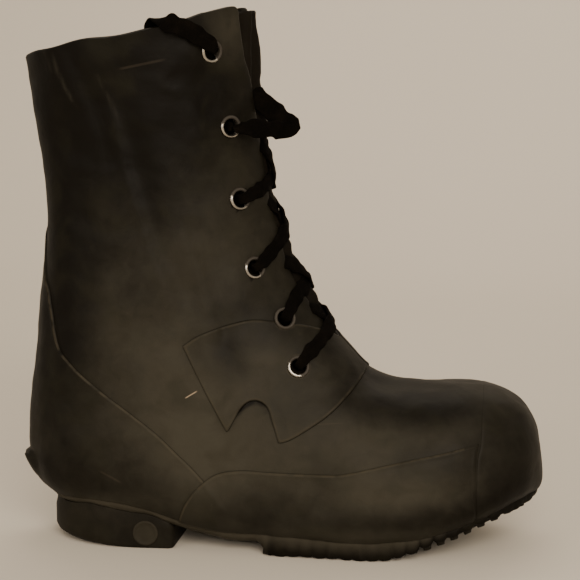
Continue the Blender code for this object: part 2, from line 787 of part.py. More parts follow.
def makeSideBar():
    """The lace that runs straight up outside the medial flap to the top eyelet."""
    (lowRow, lowAngle), (highRow, highAngle) = EYELETS[-2:]
    share = np.linspace(*SIDE_BAR_SHARES, LACE_RIBBON_POINTS)
    rows = lowRow + (highRow - lowRow) * share
    angles = lowAngle + (highAngle - lowAngle) * share
    normals = formNormal(rows, angles)
    return ribbon("bar", formPoint(rows, angles) + normals * LACE_LIFT, normals)


def smoothRoute(route, step):
    """Points along a smooth curve through a route's points, about a step apart."""
    route = np.array(route, dtype=float)
    ends = np.vstack([2 * route[0] - route[1], route, 2 * route[-1] - route[-2]])
    dense = [route[0]]
    for start in range(len(route) - 1):
        before, here, there, after = ends[start : start + 4]
        dense += [smoothBetween(before, here, there, after, t) for t in np.linspace(0.0, 1.0, ROUTE_SAMPLES)[1:]]
    dense = np.array(dense)
    length = np.concatenate([[0.0], np.cumsum(np.linalg.norm(np.diff(dense, axis=0), axis=1))])
    count = max(4, round(length[-1] / step) + 1)
    marks = np.linspace(0.0, length[-1], count)
    return np.stack([np.interp(marks, length, dense[:, axis]) for axis in range(3)], axis=-1)


def makeCord(name, route):
    points = (smoothRoute(route, LACE_POINT_STEP) - (MIDDLE_X, MIDDLE_Y, 0.0)) * MM
    curve = bpy.data.curves.new(name, "CURVE")
    curve.dimensions = "3D"
    curve.bevel_depth = LACE_CORD_RADIUS * MM
    curve.bevel_resolution = 2
    curve.use_fill_caps = True
    spline = curve.splines.new("POLY")
    spline.points.add(len(points) - 1)
    for target, point in zip(spline.points, points):
        target.co = (*point, 1.0)
    cord = bpy.data.objects.new(name, curve)
    bpy.context.scene.collection.objects.link(cord)
    return cord


def build():
    for old in list(bpy.data.objects):
        bpy.data.objects.remove(old)

    rubber = material("black_rubber", (0.016, 0.014, 0.011), 0.55)
    soleRubber = material("sole_rubber", (0.012, 0.011, 0.010), 0.65)
    felt = material("grey_felt", (0.16, 0.15, 0.13), 0.95)
    steel = material("eyelet_steel", (0.62, 0.60, 0.56), 0.35, 1.0)
    lace = material("black_lace", (0.010, 0.009, 0.009), 0.9)

    seats = eyeletSeats()
    finish(makeUpper(seats), "upper", rubber)
    finish(makeOutsole(), "outsole", soleRubber)
    finish(makeHeel(), "heel_block", soleRubber)
    finish(makeTongue(), "tongue", rubber)
    finish(makeInsole(), "insole", felt)

    finish(clearOfSole(overlay("toe_cap", TOE_CAP_OUTLINE, TOE_CAP_THICK)), "toe_cap", rubber)
    finish(makeCounter(), "heel_counter", rubber)
    for name, side in (("lateral", -1), ("medial", 1)):
        low, high = sorted((0.0, side * CUT_REACH))
        sidewall = overlay("sidewall", SIDEWALL_OUTLINE, SIDEWALL_THICK, low, high)
        finish(clearOfSole(sidewall), f"sidewall_{name}", soleRubber)
        finish(makePatch(name, side, seats), f"eyelet_patch_{name}", rubber)

    for name, seat in seats.items():
        finish(makeEyelet(name, seat), name, steel)

    for number in range(1, 5):
        finish(makeCrossing(number), f"lace_crossing_{number}", lace)
    finish(makeSideBar(), "lace_bar_medial", lace)
    for name, route in (("lace_loop", LOOP_ROUTE), ("lace_collar_end", COLLAR_END_ROUTE)):
        cord = makeCord(name, route)
        cord.data.materials.append(lace)


build()
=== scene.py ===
import math

import bmesh
import bpy
import numpy as np
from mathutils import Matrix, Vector
from mathutils.bvhtree import BVHTree


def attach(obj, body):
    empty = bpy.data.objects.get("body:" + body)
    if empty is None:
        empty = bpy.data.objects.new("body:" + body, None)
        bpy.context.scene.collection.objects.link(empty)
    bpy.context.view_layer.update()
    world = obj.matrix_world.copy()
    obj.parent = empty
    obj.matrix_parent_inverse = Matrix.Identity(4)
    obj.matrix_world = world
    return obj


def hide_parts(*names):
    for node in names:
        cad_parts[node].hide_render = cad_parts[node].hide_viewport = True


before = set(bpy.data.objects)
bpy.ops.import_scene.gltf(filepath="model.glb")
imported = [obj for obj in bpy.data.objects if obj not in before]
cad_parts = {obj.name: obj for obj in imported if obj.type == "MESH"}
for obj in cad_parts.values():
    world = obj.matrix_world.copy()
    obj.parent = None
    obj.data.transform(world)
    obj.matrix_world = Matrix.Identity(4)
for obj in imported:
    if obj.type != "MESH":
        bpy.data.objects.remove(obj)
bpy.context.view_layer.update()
millimetre = 0.001
body = "root"

# the boot's form, in millimetres from the heel: x to the toe, y across (lateral below 0), z up
bootForm = {
    "middle": (166.0, -1.5, 0.0),  # this place is the frame's origin
    "columns": (
        "lowX", "lowZ", "highX", "highZ", "lateral", "medial",
        "swing", "belly", "lowPower", "highPower", "wall",
    ),
    "sections": (
        (329.0, 46.5, 329.0, 46.5, 0.0, 0.0, 6.0, 0.46, 2.2, 2.0, 11.0),
        (327.8, 38.2, 327.8, 59.2, 13.2, 13.2, 6.0, 0.44, 2.3, 2.0, 11.0),
        (324.1, 34.3, 324.6, 74.3, 25.5, 24.5, 5.8, 0.42, 2.6, 2.1, 11.5),
        (316.7, 31.2, 317.2, 86.6, 37.0, 35.0, 5.2, 0.40, 3.0, 2.2, 12.0),
        (305.5, 27.1, 306.0, 94.6, 46.5, 43.5, 4.4, 0.38, 3.4, 2.2, 12.0),
        (290.4, 21.5, 291.4, 99.8, 53.7, 50.2, 3.4, 0.37, 3.8, 2.2, 12.0),
        (272.0, 14.5, 274.0, 102.5, 59.0, 54.5, 2.3, 0.37, 4.0, 2.2, 12.0),
        (251.0, 9.0, 256.0, 102.5, 62.0, 57.0, 1.2, 0.36, 4.2, 2.1, 12.0),
        (228.0, 7.0, 237.5, 103.5, 62.5, 57.5, 0.4, 0.35, 4.2, 2.05, 12.0),
        (205.0, 6.8, 221.0, 110.0, 61.5, 55.0, 0.0, 0.33, 4.2, 2.0, 12.0),
        (182.0, 6.8, 208.5, 121.5, 58.5, 50.5, 0.0, 0.31, 4.2, 1.95, 12.0),
        (160.0, 7.0, 198.5, 133.5, 55.5, 47.5, 0.0, 0.30, 4.2, 1.9, 12.0),
        (137.0, 8.0, 190.0, 146.5, 53.0, 45.5, 0.0, 0.30, 4.2, 1.9, 12.0),
        (114.0, 11.5, 182.5, 158.5, 50.5, 45.5, 0.0, 0.31, 4.2, 1.9, 12.0),
        (90.5, 16.0, 176.0, 170.5, 49.0, 46.5, 0.0, 0.33, 4.2, 1.9, 12.0),
        (66.5, 20.3, 170.5, 181.5, 48.3, 47.3, 0.0, 0.36, 4.2, 1.9, 12.0),
        (43.5, 24.2, 166.5, 191.0, 47.8, 47.6, 0.0, 0.40, 4.0, 1.95, 12.0),
        (22.0, 29.0, 163.5, 200.0, 47.5, 47.5, 0.0, 0.43, 3.3, 2.0, 12.0),
        (8.8, 38.8, 161.0, 208.5, 47.3, 47.3, 0.0, 0.45, 2.7, 2.0, 12.0),
        (4.0, 58.5, 159.0, 217.0, 47.0, 47.0, 0.0, 0.46, 2.4, 2.0, 12.0),
        (4.8, 84.0, 157.5, 226.0, 46.6, 46.6, 0.0, 0.47, 2.3, 2.0, 11.5),
        (7.6, 110.0, 156.0, 235.5, 46.2, 46.2, 0.0, 0.48, 2.2, 2.0, 10.5),
        (10.0, 135.0, 154.5, 246.5, 46.0, 46.0, 0.0, 0.48, 2.2, 2.0, 9.5),
        (12.7, 159.5, 153.2, 259.0, 46.0, 46.0, 0.0, 0.48, 2.2, 2.0, 8.5),
        (15.2, 184.0, 152.0, 272.5, 46.2, 46.2, 0.0, 0.48, 2.2, 2.0, 8.0),
        (16.5, 208.0, 151.0, 286.5, 46.8, 46.8, 0.0, 0.48, 2.2, 2.0, 8.0),
        (15.5, 232.0, 150.3, 299.5, 48.0, 48.0, 0.0, 0.48, 2.2, 2.0, 8.0),
        (12.5, 256.0, 149.8, 312.0, 49.5, 49.5, 0.0, 0.48, 2.2, 2.0, 8.0),
        (9.0, 280.0, 149.4, 324.5, 51.2, 51.2, 0.0, 0.48, 2.2, 2.0, 7.5),
        (5.3, 304.0, 149.0, 337.5, 53.0, 53.0, 0.0, 0.48, 2.2, 2.0, 7.0),
    ),
    "lowestRow": 0.002,
    "rowStep": 0.04,
    "turnStep": 1.0,
    "bottomWall": 3.0,
    "flapWall": 4.0,
    "flapTurns": (45.0, 68.0),
    "flapWallRows": (7.3, 9.0),
    "throatRound": 0.35,
    "throat": (  # row, half the gap between the flaps
        (10.7, 3.0), (11.2, 7.0), (12.2, 10.5), (13.5, 12.0), (15.0, 11.0), (16.5, 8.5), (18.0, 6.5),
        (20.0, 5.5), (21.8, 6.5), (23.4, 9.5), (25.2, 14.5), (26.6, 20.0), (29.0, 25.0),
    ),
    "eyelets": (  # row, angle from the front
        (12.0, 45.0), (13.5, 35.0), (16.4, 35.0), (20.6, 35.5), (24.0, 38.0), (27.4, 47.0),
    ),
}
solePlan = {
    "rows": (  # x, reach to the lateral side, reach to the medial side
        (17.0, 0.0, 0.0), (19.0, 13.0, 13.0), (26.0, 25.5, 25.5), (40.0, 34.5, 34.5),
        (62.0, 40.0, 39.5), (90.0, 41.0, 40.0), (112.0, 42.0, 39.0), (135.0, 45.0, 39.0),
        (160.0, 48.5, 41.0), (185.0, 51.5, 44.5), (210.0, 53.5, 48.5), (235.0, 54.0, 52.5),
        (260.0, 51.5, 53.5), (283.0, 45.0, 51.0), (301.0, 36.0, 45.0), (314.0, 25.0, 36.0),
        (322.0, 14.0, 25.5), (326.0, 3.0, 14.0), (327.0, -6.0, 6.0),
    ),
    "body": 3.3,
    "gap": 0.3,
    "tread": 3.2,
}
lastRow = len(bootForm["sections"]) - 1
sideNames = {-1: "lateral", 1: "medial"}


def between(before, here, there, after, t):
    # a value between here and there on a smooth curve through all four
    bend = 3 * (here - there) + after - before
    lean = 2 * before - 5 * here + 4 * there - after
    return here + 0.5 * t * (there - before + t * (lean + t * bend))


def sectionTable():
    rows = np.array(bootForm["sections"])
    mirrored = rows[1].copy()
    mirrored[[1, 3]] = 2 * rows[0, 1] - rows[1, [1, 3]]
    mirrored[[4, 5]] = -rows[1, [4, 5]]
    return np.vstack([mirrored, rows, 2 * rows[-1] - rows[-2]])


sectionRows = sectionTable()


def sectionAt(row):
    row = np.clip(np.asarray(row, dtype=float), 0.0, lastRow)
    start = np.minimum(np.floor(row).astype(int), lastRow - 1)
    value = between(*(sectionRows[start + step] for step in range(4)), (row - start)[..., None])
    return dict(zip(bootForm["columns"], np.moveaxis(value, -1, 0)))


def formPoint(row, turn):
    # turn 0 is the front or top, 180 the back or sole, above 0 medial; even steps give even spacing
    size = sectionAt(row)
    across = np.sin(np.radians(turn))
    along = np.cos(np.radians(turn))
    power = np.where(along > 0, size["highPower"], size["lowPower"])
    reach = (np.abs(across) ** power + np.abs(along) ** power) ** (-1 / power)
    share = size["belly"] + np.where(along > 0, 1 - size["belly"], size["belly"]) * along * reach
    y = size["swing"] + np.where(across > 0, size["medial"], size["lateral"]) * across * reach
    x = size["lowX"] + share * (size["highX"] - size["lowX"])
    z = size["lowZ"] + share * (size["highZ"] - size["lowZ"])
    return np.stack(np.broadcast_arrays(x, y, z), axis=-1)


def turnOf(row, angle):
    # the CAD's angle round a section, as a turn
    power = sectionAt(row)["highPower"]
    across = np.abs(np.sin(np.radians(angle))) ** (2 / power)
    along = np.abs(np.cos(np.radians(angle))) ** (2 / power)
    return np.degrees(np.arctan2(across, along)) * np.sign(angle)


def unit(vectors):
    return vectors / np.maximum(np.linalg.norm(vectors, axis=-1, keepdims=True), 1e-12)


def formNormal(row, turn):
    rowStep = bootForm["rowStep"]
    turnStep = bootForm["turnStep"]
    row = np.maximum(row, rowStep)
    alongRows = formPoint(np.minimum(row + rowStep, lastRow), turn) - formPoint(row - rowStep, turn)
    around = formPoint(row, turn + turnStep) - formPoint(row, turn - turnStep)
    return unit(np.cross(around, alongRows))


def smooth(value, low, high):
    t = np.clip((np.asarray(value, dtype=float) - low) / (high - low), 0.0, 1.0)
    return t * t * (3 - 2 * t)


def hump(distance, width):
    # 1 in the middle, falling softly to nearly 0 at twice the width
    return np.exp(-((distance / width) ** 2))


def fadeEnds(share, first, last):
    # 1 between two shares of a line, 0 at its ends
    return smooth(share, 0.0, first) * (1 - smooth(share, last, 1.0))


def wallAt(row, turn, normal):
    side = sectionAt(row)["wall"]
    folded = np.abs((np.asarray(turn) + 180.0) % 360.0 - 180.0)
    flap = (1 - smooth(folded, *bootForm["flapTurns"])) * smooth(row, *bootForm["flapWallRows"])
    wall = side + (bootForm["flapWall"] - side) * flap
    bottom = smooth(-normal[..., 2], 0.8, 0.98)
    return wall + (bootForm["bottomWall"] - wall) * bottom


def gapAt(row):
    # half the gap between the flaps, rounded off where the throat begins
    rows, gaps = np.array(bootForm["throat"]).T
    opening = np.clip((np.asarray(row, dtype=float) - rows[0]) / bootForm["throatRound"], 0.0, 1.0)
    return np.interp(row, rows, gaps) * np.sqrt(1 - (1 - opening) ** 2)


def flapTurn(row, side):
    # the turn of a flap's front edge on one side
    size = sectionAt(row)
    across = np.clip(gapAt(row) / size[sideNames[side]], 0.0, 0.95)
    along = (1 - across ** size["highPower"]) ** (1 / size["highPower"])
    return side * np.degrees(np.arctan2(across, along))


def smoothLine(points, steps=8, closed=False):
    # a smooth curve through a few points, each span cut into steps
    points = np.asarray(points, dtype=float)
    if closed:
        ends = np.vstack([points[-1], points, points[0], points[1]])
    else:
        ends = np.vstack([2 * points[0] - points[1], points, 2 * points[-1] - points[-2]])
    line = []
    for start in range(len(ends) - 3):
        for t in np.arange(steps) / steps:
            line.append(between(*ends[start : start + 4], t))
    if not closed:
        line.append(points[-1])
    return np.array(line)


def lengthAlong(line):
    # how far along a line each of its points is
    return np.concatenate([[0.0], np.cumsum(np.linalg.norm(np.diff(line, axis=0), axis=1))])


def pointsAlong(line, length, marks):
    return np.stack([np.interp(marks, length, column) for column in line.T], axis=-1)


def evenLine(line, step):
    # the same line with its points an even step apart
    length = lengthAlong(line)
    marks = np.linspace(0.0, length[-1], max(4, round(length[-1] / step) + 1))
    return pointsAlong(line, length, marks)


def lineDistance(first, second, line):
    # distance to a line, positive on its left, and the share of the line at the nearest place
    best = np.full(np.shape(first), 1e9)
    side = np.ones_like(best)
    share = np.zeros_like(best)
    count = len(line) - 1
    for index in range(count):
        ax, az = line[index]
        ux, uz = line[index + 1] - line[index]
        square = ux * ux + uz * uz + 1e-12
        t = np.clip(((first - ax) * ux + (second - az) * uz) / square, 0.0, 1.0)
        dx = first - ax - t * ux
        dz = second - az - t * uz
        reach = np.hypot(dx, dz)
        nearer = reach < best
        best = np.where(nearer, reach, best)
        side = np.where(nearer, np.sign(ux * dz - uz * dx), side)
        share = np.where(nearer, (index + t) / count, share)
    return best * side, share


def insideDistance(first, second, polygon):
    # distance in from a closed outline, below 0 outside it
    ring = np.vstack([polygon, polygon[0]])
    reach, _ = lineDistance(first, second, ring)
    inside = np.zeros(np.shape(first), dtype=bool)
    for (ax, az), (bx, bz) in zip(ring[:-1], ring[1:]):
        crosses = (az > second) != (bz > second)
        slope = (bx - ax) / (bz - az if bz != az else 1e-12)
        inside ^= crosses & (first < ax + (second - az) * slope)
    return np.where(inside, np.abs(reach), -np.abs(reach))


def soleOutline():
    rows = np.array(solePlan["rows"])
    lateral = np.stack([rows[1:-1, 0], -rows[1:-1, 1]], axis=-1)
    medial = np.stack([rows[1:-1, 0], rows[1:-1, 2]], axis=-1)[::-1]
    ring = [(rows[0, 0], 0.0), *lateral, (rows[-1, 0], 6.0), *medial]
    return smoothLine(ring, 6, closed=True)


soleRing = soleOutline()


# creases and dents of the rubber, in the boot's own sizes
rubberRelief = {
    "folds": (  # side, line of x and z, half width, depth, lip on one side
        (-1, ((33, 316), (45, 288), (53, 270), (58, 249), (61, 228)), 6.0, 1.5, 0.8),
        (-1, ((60, 300), (68, 267), (75, 236), (83, 210), (92, 182), (104, 158), (121, 140)), 8.0, 1.9, 1.1),
        (-1, ((106, 210), (111, 195), (119, 176), (128, 142), (132, 128)), 6.0, 1.3, 0.8),
        (-1, ((22, 250), (40, 240), (62, 236), (80, 244)), 9.0, 0.7, 0.4),
        (-1, ((30, 205), (50, 196), (76, 194), (96, 204)), 9.0, 0.8, 0.4),
        (-1, ((96, 292), (112, 280), (122, 262)), 8.0, 0.8, 0.4),
        (-1, ((190, 101), (222, 98), (252, 99.5), (280, 99), (296, 93)), 8.0, 1.4, 0.4),
        (1, ((36, 300), (52, 276), (64, 246), (76, 214)), 7.0, 1.4, 0.8),
        (1, ((70, 262), (80, 226), (94, 184), (112, 152)), 7.0, 1.4, 0.9),
        (1, ((28, 214), (52, 200), (84, 198)), 9.0, 0.8, 0.4),
        (1, ((196, 101), (228, 97), (262, 98), (284, 96)), 8.0, 1.2, 0.3),
    ),
    "dents": (  # place, radius, depth
        ((111, -46, 127), 8.0, 1.0), ((132, -44, 131), 8.0, 1.1), ((141, -42, 120), 6.0, 0.7),
        ((123, -50, 100), 14.0, 0.8), ((120, -36, 292), 10.0, 0.8), ((150, -24, 250), 9.0, 0.5),
        ((155, -26, 205), 9.0, 0.6), ((168, -28, 163), 8.0, 0.5), ((128, 44, 130), 9.0, 0.9),
        ((150, 26, 228), 9.0, 0.6), ((165, 30, 168), 8.0, 0.5),
    ),
    "eyeletDent": (9.0, 0.5),
    "waves": ((46.0, 0.42, 3), (21.0, 0.16, 5), (9.0, 0.045, 9)),  # length, height, seed
    "collarDip": (90.0, 30.0, 3.4),  # x, half width, depth
    "collarRipple": (6.3, 17.0, 0.55, 125.0),  # length along and across, height, last x
    "collarRows": (25.0, 29.0),
    "swells": (  # place, size each way, height
        ((149.0, 24.0, 300.0), (9.0, 9.0, 26.0), 2.6), ((302.0, -4.0, 98.0), (18.0, 30.0, 16.0), 2.2),
    ),
}


def rubberWaves(points):
    total = np.zeros(points.shape[:-1])
    for length, height, seed in rubberRelief["waves"]:
        dice = np.random.default_rng(seed)
        for _ in range(7):
            way = unit(dice.normal(size=3)) / length / dice.uniform(0.7, 1.4)
            total += height * 0.5 * np.sin(2 * math.pi * (points @ way) + dice.uniform(0, 6.3))
    return total


def reliefAt(points):
    # how far the worn rubber stands out from the form, along its normal
    x, y, z = np.moveaxis(points, -1, 0)
    total = rubberWaves(points)
    for side, line, width, depth, lip in rubberRelief["folds"]:
        reach, share = lineDistance(x, z, smoothLine(line, 4))
        fade = fadeEnds(share, 0.22, 0.78) * smooth(side * y, 2.0, 16.0)
        total += (lip * hump(reach, 0.34 * width) - depth * hump(reach - 0.9 * width, width)) * fade
    dents = [*rubberRelief["dents"], *((seat["place"], *rubberRelief["eyeletDent"]) for seat in eyeletSeats)]
    for spot, radius, depth in dents:
        total -= depth * hump(np.linalg.norm(points - spot, axis=-1), radius)
    for spot, size, height in rubberRelief["swells"]:
        total += height * np.exp(-(((points - spot) / size) ** 2).sum(-1))
    return total


def surface(row, turn, height=0.0):
    # a place on the worn boot, a height above its rubber, in millimetres
    row, turn, height = np.broadcast_arrays(*(np.asarray(v, dtype=float) for v in (row, turn, height)))
    base = formPoint(row, turn)
    x, y = base[..., 0], base[..., 1]
    point = base + formNormal(row, turn) * (reliefAt(base) + height)[..., None]
    middle, width, dip = rubberRelief["collarDip"]
    drop = dip * (hump(x - middle, width) * smooth(-y, 5.0, 35.0))
    along, across, size, last = rubberRelief["collarRipple"]
    drop = drop + size * np.sin(x / along) * np.sin(y / across + 1.1) * (x < last)
    point[..., 2] -= drop * smooth(row, *rubberRelief["collarRows"])
    return point


def makeEyeletSeats():
    seats = []
    for side in (-1, 1):
        for number, (row, angle) in enumerate(bootForm["eyelets"], start=1):
            turn = float(turnOf(row, side * angle))
            out = formNormal(row, turn)
            across = unit(np.cross(out, (0.0, 0.0, 1.0)))
            seat = {"side": side, "number": number, "row": row, "turn": turn, "out": out}
            seats.append({**seat, "across": across, "place": formPoint(row, turn)})
    return seats


eyeletSeats = makeEyeletSeats()
throatStart = bootForm["throat"][0][0]


# meshes
def toFrame(points):
    return (np.asarray(points, dtype=float) - bootForm["middle"]) * millimetre


def addObject(name, data):
    made = bpy.data.objects.new(name, data)
    bpy.context.scene.collection.objects.link(made)
    return made


def mendMesh(mesh, weld):
    # doubles merged where a distance is given, loose points deleted, faces turned outwards
    work = bmesh.new()
    work.from_mesh(mesh)
    if weld > 0:
        bmesh.ops.remove_doubles(work, verts=work.verts, dist=weld)
    bmesh.ops.delete(work, geom=[v for v in work.verts if not v.link_faces], context="VERTS")
    bmesh.ops.recalc_face_normals(work, faces=work.faces)
    work.to_mesh(mesh)
    work.free()


def openEdges(mesh):
    # how many edges don't have a face on each side
    edges = np.zeros(len(mesh.loops), dtype=np.int32)
    mesh.loops.foreach_get("edge_index", edges)
    return int((np.bincount(edges, minlength=len(mesh.edges)) != 2).sum())


def meshPiece(name, points, faces, materials, values=None, finishOf=None, weld=0.0):
    # a plain mesh from points in the boot's millimetres, with point attributes and smooth shading
    mesh = bpy.data.meshes.new(name)
    mesh.from_pydata(toFrame(points).tolist(), [], [tuple(int(i) for i in face) for face in faces])
    for key, numbers in (values or {}).items():
        attribute = mesh.attributes.new(key, "FLOAT", "POINT")
        attribute.data.foreach_set("value", np.asarray(numbers, dtype=np.float32))
    for material in materials:
        mesh.materials.append(material)
    if finishOf is not None:
        mesh.polygons.foreach_set("material_index", np.asarray(finishOf, dtype=np.int32))
    mendMesh(mesh, weld)
    mesh.shade_smooth()
    return addObject(name, mesh)


def circleAngles(count):
    return np.arange(count) * 2 * math.pi / count


def ringFaces(levels, count, first=0, closed=False):
    # faces between rings of points; closed joins the last ring to the first
    faces = []
    for level in range(levels if closed else levels - 1):
        here = first + level * count
        there = first + (level + 1) % levels * count
        for corner in range(count):
            after = (corner + 1) % count
            faces.append((here + corner, here + after, there + after, there + corner))
    return faces


def fanFaces(middle, count, first=0):
    # faces from one point to a ring of points
    return [(middle, first + corner, first + (corner + 1) % count) for corner in range(count)]


farEdge = 9.0  # an edge value too far in for any wear


def evenDustShade(count, dustShade):
    # values of a piece with no worn edge
    return {"dustShade": np.full(count, dustShade), "edge": np.full(count, farEdge)}


def place(piece, slot, *nodes):
    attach(piece, body)
    if nodes:
        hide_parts(*nodes)
    return piece


# camera: the boot's outer side, a little from the front and above
view = {
    "azimuth": 5.5,
    "elevation": 8.3,
    "distance": 1.071,
    "lens": 105.52,
    "target": (0.004, 0.0015, 0.159),
}


def makeCamera():
    azimuth = math.radians(view["azimuth"])
    elevation = math.radians(view["elevation"])
    level = math.cos(elevation)
    back = np.array((math.sin(azimuth) * level, -math.cos(azimuth) * level, math.sin(elevation)))
    data = bpy.data.cameras.new("camera")
    data.lens = view["lens"]
    data.sensor_width = 36.0
    camera = addObject("camera", data)
    camera.location = np.array(view["target"]) + back * view["distance"]
    camera.rotation_euler = (math.pi / 2 - elevation, 0.0, azimuth)
    bpy.context.scene.camera = camera


makeCamera()
print("camera made")


# finishes
class Wire:
    # a node socket that takes part in plain sums
    def __init__(self, tree, socket):
        self.tree = tree
        self.socket = socket

    def sum(self, operation, *values):
        node = self.tree.nodes.new("ShaderNodeMath")
        node.operation = operation
        for socket, value in zip(node.inputs, values):
            plug(self.tree, socket, value)
        return Wire(self.tree, node.outputs[0])

    def __add__(self, other):
        return self.sum("ADD", self, other)

    def __sub__(self, other):
        return self.sum("SUBTRACT", self, other)

    def __rsub__(self, other):
        return self.sum("SUBTRACT", other, self)

    def __mul__(self, other):
        return self.sum("MULTIPLY", self, other)

    def __truediv__(self, other):
        return self.sum("DIVIDE", self, other)

    def __abs__(self):
        return self.sum("ABSOLUTE", self)

    __radd__ = __add__


def plug(tree, socket, value):
    if isinstance(value, Wire):
        tree.links.new(value.socket, socket)
    else:
        socket.default_value = value


class Finish:
    def __init__(self, name):
        self.material = bpy.data.materials.new(name)
        self.material.use_nodes = True
        self.tree = self.material.node_tree
        self.shader = self.tree.nodes["Principled BSDF"]
        self.spot = self.node("ShaderNodeTexCoord", output="Object")

    def node(self, kind, settings=None, sockets=None, output=0):
        made = self.tree.nodes.new(kind)
        for key, value in (settings or {}).items():
            setattr(made, key, value)
        for key, value in (sockets or {}).items():
            plug(self.tree, made.inputs[key], value)
        return Wire(self.tree, made.outputs[output])

    def noise(self, size, detail=3.0, roughness=0.5, distortion=0.0):
        # size in millimetres
        sockets = {"Vector": self.spot, "Scale": 1.0 / (size * millimetre), "Detail": detail}
        sockets.update({"Roughness": roughness, "Distortion": distortion})
        return self.node("ShaderNodeTexNoise", None, sockets)

    def reach(self, value, low, high):
        # 0 below low, 1 above high, soft between
        sockets = {"Value": value, "From Min": low, "From Max": high}
        return self.node("ShaderNodeMapRange", {"interpolation_type": "SMOOTHSTEP"}, sockets)

    def value(self, name):
        return self.node("ShaderNodeAttribute", {"attribute_name": name}, output="Fac")

    def mix(self, share, first, second):
        sockets = {0: share, 6: first, 7: second}
        return self.node("ShaderNodeMix", {"data_type": "RGBA"}, sockets, output=2)

    def axes(self):
        split = self.node("ShaderNodeSeparateXYZ", None, {"Vector": self.spot})
        node = split.socket.node
        return [Wire(self.tree, node.outputs[axis]) for axis in range(3)]

    def bump(self, height, distance, strength=1.0, under=None):
        # distance in millimetres for a height of 1
        sockets = {"Height": height, "Distance": distance * millimetre, "Strength": strength}
        if under is not None:
            sockets["Normal"] = under
        return self.node("ShaderNodeBump", None, sockets)

    def set(self, **values):
        for key, value in values.items():
            plug(self.tree, self.shader.inputs[key.replace("_", " ")], value)
        return self.material


def shade(red, green, blue):
    return (red, green, blue, 1.0)


rubberMarks = (  # thin marks on the outer side: first x and z, last x and z, width, brightness
    ((110.0, 98.0), (117.5, 102.5), 0.7, 1.0),
    ((56.0, 51.0), (70.0, 43.5), 1.3, 0.035),
    ((72.0, 297.5), (101.0, 303.5), 1.4, 0.045),
    ((190.0, 84.0), (207.0, 85.0), 0.6, 0.03),
)


def markMask(finish, axes):
    # thin straight scuffs on the outer side
    x, y, z = axes
    total = None
    for (ax, az), (bx, bz), width, bright in rubberMarks:
        ax, bx = ((v - bootForm["middle"][0]) * millimetre for v in (ax, bx))
        az, bz = (v * millimetre for v in (az, bz))
        length = math.hypot(bx - ax, bz - az)
        ux, uz = (bx - ax) / length, (bz - az) / length
        along = ((x - ax) * ux + (z - az) * uz) / length
        aside = abs((x - ax) * -uz + (z - az) * ux)
        mark = 1 - finish.reach(aside, 0.25 * width * millimetre, 0.75 * width * millimetre)
        mark = mark * finish.reach(along, -0.05, 0.15) * (1 - finish.reach(along, 0.8, 1.05)) * bright
        total = mark if total is None else total + mark
    return total * (1 - finish.reach(y, -0.02, -0.01))


def rubberFinish(name, look):
    # black rubber with a dusty bloom, whose charted amount also carries painted light and shade; look says
    # how dusty, how glossy, how its edges are worn with a painted highlight and how dark a painted shadow
    # line at their edge is
    finish = Finish(name)
    broad = finish.noise(34, 3.0, 0.55, 0.4)
    mottle = finish.noise(9, 4.0, 0.6, 0.6)
    grain = finish.noise(1.6, 3.0, 0.6)
    # the pale tone follows the charted dust and the painted light and shade in it; the dark tone is clean
    # rubber and painted shade
    dustShade = finish.value("dustShade") if look["charted"] else 0.5
    dustAndShade = finish.reach(dustShade + (broad - 0.5) * 0.38 + (mottle - 0.5) * 0.22, 0.12, 1.0)
    colour = finish.mix(dustAndShade, look["darkTone"], look["paleTone"])
    green = finish.reach(finish.noise(26, 2.0, 0.5, 0.8), 0.45, 0.75)
    colour = finish.mix(green * 0.35, colour, look["tinge"])
    speck = finish.reach(finish.noise(2.4, 2.0, 0.7), 0.62, 0.8) * dustAndShade
    colour = finish.mix(speck * 0.35, colour, look["paleTone"])
    rough = look["rough"] + dustAndShade * 0.16 + (mottle - 0.5) * 0.14
    if look["edge"] > 0:
        edge = finish.value("edge")
        # a paler line just in from a panel's edge: rubbed wear and a painted highlight along its raised edge
        paler = finish.reach(finish.noise(7, 2.0, 0.6), 0.30, 0.62)
        rim = (1 - finish.reach(abs(edge - look["edgePlace"]), 0.25, look["edgeWide"])) * paler
        colour = finish.mix(rim * look["edge"], colour, look["edgeWearAndHighlight"])
        # a dark line right at a panel's edge: painted shadow of its step, and dirt in the joint
        edgeShadeAndDirt = 1 - finish.reach(edge, 0.0, 0.55)
        colour = finish.mix(edgeShadeAndDirt * look["edgeShadeAndDirt"], colour, shade(0.003, 0.0026, 0.002))
    if look["marks"]:
        marks = markMask(finish, finish.axes())
        colour = finish.mix(marks, colour, shade(0.26, 0.20, 0.14))
    bumps = finish.bump(finish.noise(22, 3.0, 0.5, 0.5), 1.1, 0.5)
    bumps = finish.bump(mottle, 0.35, 0.5, bumps)
    bumps = finish.bump(grain, 0.07, 0.6, bumps)
    return finish.set(Base_Color=colour, Roughness=rough, Normal=bumps, Specular_IOR_Level=look["specular"])


